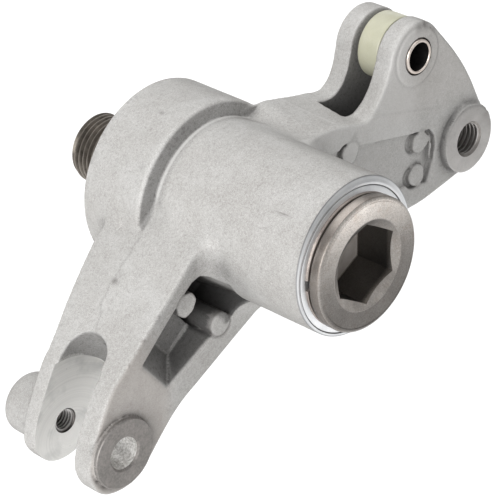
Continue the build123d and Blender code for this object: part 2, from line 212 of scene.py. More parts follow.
def make_cast():
    m = Mat("cast_aluminium_skin")
    grain = m.noise(1500.0, 3.0, 0.6)
    coarse = m.noise(820.0, 2.0, 0.55)
    fine = m.noise(4200.0, 2.0, 0.6)
    mid = m.noise(260.0, 3.0, 0.55)
    blotch = m.noise(55.0, 3.0, 0.5, dist=0.6)
    dirt_and_painted_shade = m.attr("dirt_and_painted_shade")
    warm = m.attr("warm")
    painted_shade = m.attr("painted_shade")
    painted_highlight = m.attr("painted_highlight")
    base = m.mix(m.maprange(blotch, 0.35, 0.68), lin(163, 161, 158), lin(177, 176, 174))
    base = m.mix(m.maprange(mid, 0.40, 0.66, 0.0, 0.34), base, lin(153, 150, 147))
    base = m.mix(m.maprange(m.noise(900.0, 3.0, 0.6), 0.50, 0.68, 0.0, 0.34), base, lin(194, 193, 191))
    base = m.mix(m.maprange(grain, 0.42, 0.72, 0.0, 0.45), base, lin(188, 187, 185))
    base = m.mix(m.maprange(grain, 0.45, 0.28, 0.0, 0.5), base, lin(143, 140, 137))
    base = m.mix(m.maprange(coarse, 0.42, 0.28, 0.0, 0.35), base, lin(134, 131, 128))
    base = m.mix(m.maprange(fine, 0.46, 0.30, 0.0, 0.62), base, lin(132, 129, 125))
    base = m.mix(m.maprange(fine, 0.54, 0.70, 0.0, 0.60), base, lin(212, 211, 209))
    # sparse dark specks
    speck = m.maprange(m.voronoi(420.0), 0.10, 0.04, 0.0, 0.14)
    speck = m.math("MULTIPLY", speck, m.maprange(m.noise(120.0), 0.5, 0.62))
    base = m.mix(speck, base, lin(112, 106, 100))
    base = m.mix(m.math("MULTIPLY", warm, 0.6), base, lin(168, 160, 154))
    # painted highlight: lighter colour on convex edges, the collar lip, pocket creases and the upper arm's front face
    base = m.mix(m.maprange(painted_highlight, 0.0, 1.0, 0.0, 0.45), base, lin(208, 207, 205))
    # painted shade: colour darkened toward near black where the surface is closed in, in gaps, pockets and fillets,
    # with darker mottling there
    base = m.mix(m.math("MULTIPLY", m.maprange(painted_shade, 0.0, 1.0), 0.94), base, lin(46, 45, 45))
    shade_mottle = m.math("MULTIPLY", m.maprange(coarse, 0.46, 0.34), m.maprange(painted_shade, 0.15, 0.6, 0.0, 0.22))
    base = m.mix(shade_mottle, base, lin(50, 49, 48))
    # dirt marks, with painted shade in creases and round the stubs
    base = m.mix(dirt_and_painted_shade, base, lin(74, 69, 66))
    # painted shade: darker at grazing view angles, a dark rim along the outline
    grazing_shade_layer = m.t.nodes.new("ShaderNodeLayerWeight")
    grazing_shade_layer.inputs["Blend"].default_value = 0.5
    base = m.mix(m.maprange(grazing_shade_layer.outputs["Facing"], 0.66, 1.0, 0.0, 0.55), base, lin(104, 102, 99))
    rough = m.maprange(mid, 0.3, 0.7, 0.56, 0.68)
    h = m.math("ADD", m.math("MULTIPLY", grain, 0.6), m.math("MULTIPLY", fine, 0.3))
    h = m.math("ADD", h, m.math("MULTIPLY", coarse, 0.35))
    n = m.bump(h, 0.5, 0.10)
    return m.done(base, rough, 0.20, n, Specular_IOR_Level=0.35)


def make_turned():
    m = Mat("turned_aluminium")
    r = m.radius(0, 0)
    s = m.xyz()
    rings = m.noise(2.2, 3.0, 0.7, vec=r, dims="1D")
    rings2 = m.noise(9.0, 2.0, 0.6, vec=m.math("ADD", r, m.math("MULTIPLY", s[1], 1000.0)), dims="1D")
    blotch = m.noise(150.0, 3.0, 0.6)
    base = m.mix(m.maprange(blotch, 0.4, 0.66), lin(240, 241, 242), lin(218, 220, 222))
    base = m.mix(m.maprange(rings2, 0.42, 0.6, 0.0, 0.5), base, lin(246, 246, 247))
    # the turned groove and the chamfer of the front rim are painted darker
    front = m.maprange(m.math("MULTIPLY", s[1], 1000.0), -87.9, -88.05)
    band = m.math("MULTIPLY", m.maprange(r, 23.78, 23.9), m.maprange(r, 24.3, 24.15))
    base = m.mix(m.math("MULTIPLY", m.math("MULTIPLY", band, front), 0.7), base, lin(96, 96, 97))
    base = m.mix(m.math("MULTIPLY", m.math("MULTIPLY", m.maprange(r, 24.3, 24.6), front), 0.12), base, lin(150, 150, 151))
    rim = m.maprange(m.radius(*BARREL), 25.55, 25.95)
    base = m.mix(m.math("MULTIPLY", m.math("MULTIPLY", rim, m.maprange(m.math("MULTIPLY", s[1], 1000.0), -86.5, -86.9)), 0.75), base, lin(104, 104, 106))
    rough = m.maprange(rings, 0.35, 0.65, 0.30, 0.44)
    n = m.bump(m.math("ADD", rings, m.math("MULTIPLY", rings2, 0.5)), 0.35, 0.05)
    return m.done(base, rough, 1.0, n)


def make_bore():
    m = Mat("bored_aluminium")
    s = m.xyz()
    rings = m.noise(5.0, 2.0, 0.6, vec=m.math("MULTIPLY", s[1], 1000.0), dims="1D")
    blotch = m.noise(200.0, 3.0, 0.6)
    base = m.mix(m.maprange(blotch, 0.34, 0.70), lin(200, 200, 200), lin(186, 185, 184))
    return m.done(base, m.maprange(rings, 0.35, 0.65, 0.28, 0.45), 0.95, m.bump(rings, 0.4, 0.05))


def make_milled():
    m = Mat("milled_aluminium")
    r = m.radius(CLEVIS[0] + 1.5, CLEVIS[1] - 6.0)
    lines = m.noise(1.7, 3.0, 0.75, vec=r, dims="1D")
    broad = m.noise(0.42, 2.0, 0.5, vec=r, dims="1D")
    blotch = m.noise(130.0, 3.0, 0.6)
    base = m.mix(m.maprange(lines, 0.38, 0.62), lin(210, 209, 206), lin(220, 219, 216))
    base = m.mix(m.maprange(broad, 0.4, 0.6, 0.0, 0.3), base, lin(230, 229, 226))
    base = m.mix(m.maprange(blotch, 0.5, 0.72, 0.0, 0.5), base, lin(170, 171, 169))
    speck = m.maprange(m.voronoi(330.0), 0.09, 0.03, 0.0, 0.5)
    base = m.mix(m.math("MULTIPLY", speck, m.maprange(m.noise(90.0), 0.52, 0.6)), base, lin(110, 106, 102))
    return m.done(base, m.maprange(lines, 0.35, 0.65, 0.46, 0.58), 0.60, m.bump(lines, 0.16, 0.05))


def make_spot(name, c, a, b):
    m = Mat(name)
    r = m.radius(*c)
    rings = m.noise(2.4, 3.0, 0.7, vec=r, dims="1D")
    blotch = m.noise(170.0, 4.0, 0.62, dist=0.5)
    fine = m.noise(1500.0, 3.0, 0.6)
    base = m.mix(m.maprange(blotch, 0.38, 0.64), a, b)
    base = m.mix(m.maprange(fine, 0.45, 0.72, 0.0, 0.34), base, lin(182, 175, 170))
    base = m.mix(m.maprange(fine, 0.45, 0.28, 0.0, 0.4), base, lin(92, 88, 85))
    # dirt marks and painted shade in creases, then painted highlight on edges
    base = m.mix(m.math("MULTIPLY", m.attr("dirt_and_painted_shade"), 0.8), base, lin(88, 80, 76))
    base = m.mix(m.math("MULTIPLY", m.attr("painted_highlight"), 0.5), base, lin(205, 202, 199))
    rough = m.maprange(fine, 0.3, 0.7, 0.42, 0.58)
    h = m.math("ADD", m.math("MULTIPLY", rings, 0.5), m.math("MULTIPLY", fine, 0.5))
    return m.done(base, rough, 0.75, m.bump(h, 0.35, 0.06))


def make_tapped(name, c, rmin, rmax, root_shade):
    m = Mat(name)
    r = m.radius(*c)
    # painted highlight on the thread crests at small radius, painted shade toward the roots
    k = m.maprange(r, rmin, rmax)
    blotch = m.noise(500.0, 2.0, 0.6)
    base = m.mix(k, lin(214, 212, 210), lin(*root_shade))
    base = m.mix(m.maprange(blotch, 0.45, 0.7, 0.0, 0.4), base, lin(120, 114, 110))
    return m.done(base, m.maprange(blotch, 0.3, 0.7, 0.28, 0.42), 0.95, m.bump(blotch, 0.2, 0.03))


def make_bolt():
    m = Mat("turned_steel_head")
    r = m.radius(0, 0)
    s = m.xyz()
    y = m.math("MULTIPLY", s[1], 1000.0)
    rings = m.noise(3.0, 3.0, 0.7, vec=r, dims="1D")
    fine = m.noise(2200.0, 2.0, 0.6)
    blotch = m.noise(75.0, 4.0, 0.6, dist=1.2)
    streak = m.noise(420.0, 3.0, 0.7)
    base = m.mix(m.maprange(blotch, 0.36, 0.66), lin(152, 147, 142), lin(174, 169, 164))
    base = m.mix(m.maprange(streak, 0.50, 0.74, 0.0, 0.40), base, lin(146, 132, 120))
    base = m.mix(m.maprange(fine, 0.52, 0.74, 0.0, 0.42), base, lin(205, 200, 196))
    base = m.mix(m.maprange(fine, 0.47, 0.30, 0.0, 0.42), base, lin(108, 101, 95))
    spots = m.maprange(m.voronoi(260.0), 0.12, 0.05, 0.0, 0.5)
    spots = m.math("MULTIPLY", spots, m.maprange(m.noise(60.0, 3.0), 0.54, 0.64))
    base = m.mix(spots, base, lin(94, 84, 78))
    # walls deep in the hexagon painted near black: painted shade inside the socket
    deep = m.maprange(y, -92.6, -90.6, 0.0, 1.0)
    inside = m.maprange(r, 14.6, 14.2, 0.0, 1.0)
    front = m.maprange(y, -78.9, -78.5, 1.0, 0.0)
    socket_wall_shade = m.math("MULTIPLY", m.math("MULTIPLY", deep, inside), front)
    base = m.mix(m.math("MULTIPLY", socket_wall_shade, 0.80), base, lin(46, 45, 44))
    cone = m.math("MULTIPLY", m.maprange(y, -94.05, -93.85), m.math("MULTIPLY", m.maprange(r, 15.2, 14.9), m.maprange(y, -91.6, -92.0)))
    base = m.mix(m.math("MULTIPLY", cone, 0.15), base, lin(110, 106, 102))
    base = m.mix(m.math("MULTIPLY", m.maprange(r, 21.85, 22.0), m.maprange(y, -0.5, -2.0, 0.0, 0.6)), base, lin(92, 84, 78))
    # painted light: face painted brighter up and to the left, cone painted brighter toward the bottom, as the light
    # falls
    kx = m.math("ADD", m.math("MULTIPLY", s[0], -60.0), m.math("MULTIPLY", s[2], 990.0))
    face_light_paint = m.math("POWER", m.maprange(kx, -22.0, 20.0), 3.2)
    face_light_paint = m.math("ADD", m.math("MULTIPLY", face_light_paint, 1.85), 0.46)
    face = m.math("MULTIPLY", m.maprange(r, 14.8, 15.4), m.maprange(r, 21.3, 21.9, 1.0, 0.25))
    base = m.mix(face, base, m.mix(m.maprange(y, -89.0, -91.0), base, m.mix(m.maprange(r, -1.0, -2.0, 1.0, 0.0), base, face_light_paint, "MULTIPLY")))
    cone_light_paint = m.maprange(m.math("MULTIPLY", s[2], 1000.0), -14.0, 14.0, 1.55, 0.50)
    base = m.mix(cone, base, m.mix(m.maprange(r, -1.0, -2.0, 1.0, 0.0), base, cone_light_paint, "MULTIPLY"))
    rough = m.maprange(blotch, 0.3, 0.7, 0.32, 0.46)
    h = m.math("ADD", m.math("MULTIPLY", rings, 0.6), m.math("MULTIPLY", fine, 0.3))
    return m.done(base, rough, 0.95, m.bump(h, 0.25, 0.05))


def make_thread():
    m = Mat("oiled_thread")
    r = m.radius(0, 0)
    k = m.maprange(r, 11.55, 11.98, smooth=True)
    patch = m.noise(320.0, 3.0, 0.6)
    base = m.mix(m.maprange(patch, 0.35, 0.65), lin(94, 89, 83), lin(124, 118, 110))
    base = m.mix(m.math("MULTIPLY", k, 0.8), base, lin(150, 142, 134))
    rough = m.maprange(patch, 0.3, 0.7, 0.26, 0.42)
    return m.done(base, rough, 0.9, m.bump(m.noise(1500.0, 2.0), 0.2, 0.05))


def make_simple(name, a, b, metal, r0, r1, scale=300.0, bump=0.25, ringy=None):
    m = Mat(name)
    n1 = m.noise(scale, 4.0, 0.6, dist=0.4)
    n2 = m.noise(scale * 6.0, 2.0, 0.6)
    base = m.mix(m.maprange(n1, 0.36, 0.66), a, b)
    h = n2
    if ringy is not None:
        rr = m.radius(*ringy)
        rings = m.noise(3.5, 3.0, 0.7, vec=rr, dims="1D")
        h = m.math("ADD", m.math("MULTIPLY", rings, 0.6), m.math("MULTIPLY", n2, 0.4))
    return m.done(base, m.maprange(n1, 0.3, 0.7, r0, r1), metal, m.bump(h, bump, 0.05))


def make_roller():
    m = Mat("roller_plastic")
    n1 = m.noise(140.0, 3.0, 0.55)
    n2 = m.noise(1800.0, 3.0, 0.6)
    base = m.mix(m.maprange(n1, 0.34, 0.68), lin(172, 171, 150), lin(182, 181, 162))
    base = m.mix(m.maprange(n2, 0.5, 0.75, 0.0, 0.3), base, lin(160, 158, 134))
    mt = m.done(base, m.maprange(n2, 0.3, 0.7, 0.34, 0.46), 0.0, m.bump(n2, 0.18, 0.05))
    m.p.inputs["Subsurface Weight"].default_value = 0.12
    m.p.inputs["Subsurface Radius"].default_value = (1.0, 0.9, 0.6)
    m.p.inputs["Subsurface Scale"].default_value = 0.0015
    return mt


M_CAST = make_cast()
M_TURN = make_turned()
M_BORE = make_bore()
M_MILL = make_milled()
M_PAD = make_spot("pad_face", CLEVIS, lin(122, 119, 116), lin(136, 132, 129))
M_BOSSF = make_spot("boss_face", BOSS, lin(162, 160, 158), lin(178, 176, 174))
M_TAP12 = make_tapped("tapped_boss", BOSS, 5.15, 5.75, (150, 146, 142))
M_TAP8 = make_tapped("tapped_clevis", CLEVIS, 3.45, 3.95, (66, 63, 61))
# bore under the pad painted bright: painted light inside the hole
M_PAD_BORE_LIGHT = make_simple("pad_bore_painted_light", lin(176, 173, 169), lin(240, 239, 237), 0.55, 0.30, 0.60, 1300.0, 0.8, CLEVIS)
M_BOLT = make_bolt()
M_THREAD = make_thread()
M_BUSH = make_simple("bush_bronze", lin(142, 132, 126), lin(162, 153, 147), 0.8, 0.34, 0.48, 200.0, 0.2, (0, 0))
M_RUBBER = make_simple("seal_rubber", lin(26, 26, 26), lin(38, 37, 36), 0.0, 0.42, 0.58, 300.0, 0.3)
M_WASHER = make_simple("washer_steel", lin(150, 148, 146), lin(172, 170, 167), 0.95, 0.28, 0.42, 160.0, 0.2, (0, 0))
M_RING = make_simple("ring_steel", lin(58, 56, 55), lin(80, 78, 76), 0.85, 0.34, 0.48, 260.0, 0.2)
M_SLEEVE = make_simple("sleeve_steel", lin(206, 194, 184), lin(222, 212, 204), 0.75, 0.30, 0.42, 320.0, 0.15, SLEEVE)
# inside of the sleeve tube painted near black: painted shade
M_SLEEVE_BORE_SHADE = make_simple("sleeve_bore_painted_shade", lin(30, 29, 29), lin(44, 43, 42), 0.6, 0.35, 0.5, 320.0, 0.15, SLEEVE)
# floor of the hexagon socket: the bolt steel painted lighter, painted light against the shade in the socket
M_HEX_FLOOR_LIGHT = make_simple("hexagon_floor_painted_light", lin(206, 198, 190), lin(226, 220, 214), 0.25, 0.45, 0.6, 260.0, 0.2, (0, 0))
M_SEAT = make_simple("sleeve_seat", lin(52, 50, 48), lin(70, 67, 64), 0.3, 0.5, 0.65, 300.0, 0.2)
M_ROLLER = make_roller()


# ==========================================================================
# mesh helpers
# ==========================================================================
def new_object(name, verts, faces, mats=(), smooth=30.0):
    me = bpy.data.meshes.new(name)
    me.from_pydata([tuple(v) for v in verts], [], [tuple(f) for f in faces])
    me.validate()
    ob = bpy.data.objects.new(name, me)
    bpy.context.scene.collection.objects.link(ob)
    for m in mats:
        me.materials.append(m)
    bm = bmesh.new()
    bm.from_mesh(me)
    bmesh.ops.remove_doubles(bm, verts=bm.verts, dist=1e-7)
    bmesh.ops.recalc_face_normals(bm, faces=bm.faces)
    bm.to_mesh(me)
    bm.free()
    finish_normals(ob, smooth)
    return ob


def finish_normals(ob, angle):
    me = ob.data
    me.polygons.foreach_set("use_smooth", np.ones(len(me.polygons), bool))
    if angle is not None:
        me.set_sharp_from_angle(angle=math.radians(angle))
    me.update()


def lathe(name, prof, c=(0.0, 0.0), n=128, closed=False, mats=(), smooth=30.0, span=None):
    """Revolves (r, y) points about the Y axis through c. An open profile starts and ends on the axis."""
    verts, faces = [], []
    full = span is None
    a0, a1 = (0.0, 2 * math.pi) if full else span
    cols = n if full else n + 1
    idx = []
    for (r, y) in prof:
        if r <= 1e-9:
            verts.append((c[0] * MM, y * MM, c[1] * MM))
            idx.append([len(verts) - 1] * cols)
        else:
            row = []
            for j in range(cols):
                a = a0 + (a1 - a0) * j / n
                verts.append(((c[0] + r * math.cos(a)) * MM, y * MM, (c[1] + r * math.sin(a)) * MM))
                row.append(len(verts) - 1)
            idx.append(row)
    k = len(prof)
    for i in range(k if closed else k - 1):
        p, q = idx[i], idx[(i + 1) % k]
        for j in range(cols if full else cols - 1):
            j2 = (j + 1) % cols
            f = [p[j], p[j2], q[j2], q[j]]
            g = []
            for v in f:
                if v not in g:
                    g.append(v)
            if len(g) >= 3:
                faces.append(g)
    if not full and closed:
        faces.append([r[0] for r in idx])
        faces.append([r[-1] for r in idx][::-1])
    return new_object(name, verts, faces, mats, smooth)


def screw_solid(name, c, y0, y1, pitch, corners, limit, n=96, mats=()):
    """Closed solid with a helical surface. corners: (offset along the pitch, radius); limit(y) caps the radius."""
    k = len(corners)
    turns = int(math.ceil((y1 - y0) / pitch)) + 2
    offs = [o for o, _ in corners]
    rads = [r for _, r in corners]

    def radius_at(y, a):
        ph = ((y - y0) / pitch - a / (2 * math.pi)) % 1.0 * pitch
        xs = offs + [pitch]
        ys = rads + [rads[0]]
        return float(np.interp(ph, xs, ys))

    verts, faces = [], []
    rows = []
    for m in range(-1, turns):
        for o in offs:
            row = []
            for j in range(n):
                a = 2 * math.pi * j / n
                y = y0 + pitch * (m + a / (2 * math.pi)) + o
                if y < y0 or y > y1:
                    y = min(max(y, y0), y1)
                    r = radius_at(y, a)
                else:
                    r = rads[offs.index(o)]
                r = min(r, limit(y)) if limit else r
                verts.append(((c[0] + r * math.cos(a)) * MM, y * MM, (c[1] + r * math.sin(a)) * MM))
                row.append(len(verts) - 1)
            rows.append(row)
    for i in range(len(rows) - 1):
        for j in range(n - 1):
            faces.append([rows[i][j], rows[i][j + 1], rows[i + 1][j + 1], rows[i + 1][j]])
        if i + k < len(rows) - 1:
            faces.append([rows[i][n - 1], rows[i + k][0], rows[i + k + 1][0], rows[i + 1][n - 1]])
    me = bpy.data.meshes.new(name)
    me.from_pydata(verts, [], faces)
    bm = bmesh.new()
    bm.from_mesh(me)
    bmesh.ops.remove_doubles(bm, verts=bm.verts, dist=2e-7)
    bmesh.ops.dissolve_degenerate(bm, edges=bm.edges, dist=1e-7)
    # caps on both ends
    for ye in (y0, y1):
        bm.verts.ensure_lookup_table()
        rim = [e for e in bm.edges if len(e.link_faces) == 1 and all(abs(v.co.y - ye * MM) < 1e-6 for v in e.verts)]
        if rim:
            mid = bm.verts.new((c[0] * MM, ye * MM, c[1] * MM))
            for e in rim:
                bm.faces.new((e.verts[0], e.verts[1], mid))
    loose = [v for v in bm.verts if not v.link_faces]
    bmesh.ops.delete(bm, geom=loose, context="VERTS")
    bmesh.ops.recalc_face_normals(bm, faces=bm.faces)
    bm.to_mesh(me)
    bm.free()
    ob = bpy.data.objects.new(name, me)
    bpy.context.scene.collection.objects.link(ob)
    for m in mats:
        me.materials.append(m)
    finish_normals(ob, 30.0)
    return ob


def prism(name, pts, y0, y1):
    """Closed prism of an (x, z) outline between two Y planes."""
    n = len(pts)
    verts = [(x * MM, y0 * MM, z * MM) for x, z in pts] + [(x * MM, y1 * MM, z * MM) for x, z in pts]
    faces = [list(range(n)), list(range(2 * n - 1, n - 1, -1))]
    faces += [[i, (i + 1) % n, n + (i + 1) % n, n + i] for i in range(n)]
    return new_object(name, verts, faces, (), None)


def drop(ob):
    me = ob.data
    bpy.data.objects.remove(ob)
    if me and me.users == 0:
        bpy.data.meshes.remove(me)


def apply_mods(ob):
    dg = bpy.context.evaluated_depsgraph_get()
    dg.update()
    me = bpy.data.meshes.new_from_object(ob.evaluated_get(dg))
    ob.modifiers.clear()
    old = ob.data
    ob.data = me
    bpy.data.meshes.remove(old)


def boolean(ob, tool, op="DIFFERENCE", keep=False):
    md = ob.modifiers.new("cut", "BOOLEAN")
    md.operation = op
    md.object = tool
    md.solver = "MANIFOLD"
    before = len(ob.data.polygons)
    apply_mods(ob)
    print("boolean", op, tool.name, before, "->", len(ob.data.polygons))
    if not keep:
        drop(tool)


def vert_array(me):
    co = np.zeros(len(me.vertices) * 3, F4)
    me.vertices.foreach_get("co", co)
    return co.reshape(-1, 3)


def poly_centres(me):
    c = np.zeros(len(me.polygons) * 3, F4)
    me.polygons.foreach_get("center", c)
    n = np.zeros(len(me.polygons) * 3, F4)
    me.polygons.foreach_get("normal", n)
    return c.reshape(-1, 3) / MM, n.reshape(-1, 3)


# ==========================================================================
# distance field of the lever casting, in millimetres
# ==========================================================================
H = 0.5
LO = (-80.0, -93.0, -73.5)
HI = (110.5, 3.0, 50.5)
xs, ys, zs = [np.arange(a, b, H, dtype=F4) for a, b in zip(LO, HI)]
X2, Z2 = np.meshgrid(xs, zs, indexing="ij")
YY = ys[None, :, None]
S2 = (-0.755 * X2 - 0.655 * Z2).astype(F4)
T2 = (0.655 * X2 - 0.755 * Z2).astype(F4)


def sd_poly(P, U, V):
    P = np.asarray(P, F4)
    d = np.full(U.shape, 1e9, F4)
    ins = np.zeros(U.shape, bool)
    for i in range(len(P)):
        a, b = P[i - 1], P[i]
        e = b - a
        if float(e @ e) < 1e-10:
            continue
        wu, wv = U - a[0], V - a[1]
        t = np.clip((wu * e[0] + wv * e[1]) / (e @ e), 0, 1)
        du, dv = wu - t * e[0], wv - t * e[1]
        np.minimum(d, du * du + dv * dv, out=d)
        if abs(e[1]) > 1e-9:
            hit = ((a[1] <= V) & (b[1] > V)) | ((b[1] <= V) & (a[1] > V))
            ins ^= hit & (a[0] + wv / e[1] * e[0] > U)
    d = np.sqrt(d)
    return np.where(ins, -d, d).astype(F4)


def sd_line(P, U, V):
    P = np.asarray(P, F4)
    d = np.full(U.shape, 1e9, F4)
    for i in range(1, len(P)):
        a, b = P[i - 1], P[i]
        e = b - a
        wu, wv = U - a[0], V - a[1]
        t = np.clip((wu * e[0] + wv * e[1]) / (e @ e), 0, 1)
        np.minimum(d, (wu - t * e[0]) ** 2 + (wv - t * e[1]) ** 2, out=d)
    return np.sqrt(d)


def curve(points, per=6):
    """Catmull-Rom through the points."""
    P = [np.asarray(p, float) for p in points]
    P = [2 * P[0] - P[1]] + P + [2 * P[-1] - P[-2]]
    out = []
    for i in range(1, len(P) - 2):
        for k in range(per):
            t = k / per
            a, b, c, d = P[i - 1], P[i], P[i + 1], P[i + 2]
            out.append(0.5 * ((2 * b) + (-a + c) * t + (2 * a - 5 * b + 4 * c - d) * t * t + (-a + 3 * b - 3 * c + d) * t ** 3))
    out.append(P[-2])
    return [tuple(p) for p in out]


def arc(c, r, a0, a1, n=16):
    return [(c[0] + r * math.cos(math.radians(a0 + (a1 - a0) * i / n)),
             c[1] + r * math.sin(math.radians(a0 + (a1 - a0) * i / n))) for i in range(n + 1)]


def lut(u2, u0, du, table):
    """table[u, y] looked up with the 2D map u2, giving a full grid."""
    f = np.clip((u2 - u0) / du, 0, table.shape[0] - 1.001)
    i = f.astype(np.int32)
    w = (f - i).astype(F4)[..., None]
    g = table[i] * (1 - w) + table[i + 1] * w
    return np.ascontiguousarray(g.transpose(0, 2, 1))


def rev(P, c=(0.0, 0.0)):
    rg = np.arange(0, 140, 0.25, dtype=F4)
    U, V = np.meshgrid(rg, ys, indexing="ij")
    return lut(np.hypot(X2 - c[0], Z2 - c[1]), 0.0, 0.25, sd_poly(P, U, V))


def rnd_and(a, b, r):
    return np.minimum(-r, np.maximum(a, b)) + np.hypot(np.maximum(a + r, 0), np.maximum(b + r, 0))


def rnd_or(a, b, r):
    return np.maximum(r, np.minimum(a, b)) - np.hypot(np.maximum(r - a, 0), np.maximum(r - b, 0))


def rnd_sub(a, b, r):
    return rnd_and(a, -b, r)


def slab(y0, y1):
    return np.maximum(y0 - YY, YY - y1)


def ext(d2, y0, y1, r=0.0):
    d2 = d2[:, None, :] if d2.ndim == 2 else d2
    dy = slab(y0, y1) if not isinstance(y0, np.ndarray) else y0
    if r <= 0:
        return np.maximum(d2, dy)
    return rnd_and(d2, dy, r)


def circ(c, r):
    return np.hypot(X2 - c[0], Z2 - c[1]) - r


def smooth(v, a, b):
    t = np.clip((v - a) / (b - a), 0, 1)
    return t * t * (3 - 2 * t)


def wavy(cell, seed):
    """smooth random field over the grid, about -1..1"""
    rng = np.random.default_rng(seed)
    mats, shp = [], []
    for g, lo, hi in zip((xs, ys, zs), LO, HI):
        n = int((hi - lo) / cell) + 4
        t = (g - lo) / cell + 1
        i = np.floor(t).astype(int)
        f = t - i
        w = np.zeros((len(g), n), F4)
        for o, q in ((-1, (1 - f) ** 3 / 6), (0, (3 * f ** 3 - 6 * f ** 2 + 4) / 6),
                     (1, (-3 * f ** 3 + 3 * f ** 2 + 3 * f + 1) / 6), (2, f ** 3 / 6)):
            w[np.arange(len(g)), np.clip(i + o, 0, n - 1)] += q.astype(F4)
        mats.append(w)
        shp.append(n)
    a = rng.uniform(-1, 1, shp).astype(F4)
    a = np.tensordot(mats[0], a, (1, 0))
    a = np.tensordot(a, mats[1], (1, 1))          # x, z, y
    a = np.tensordot(a, mats[2], (1, 1))          # x, y, z
    return a * 2.2


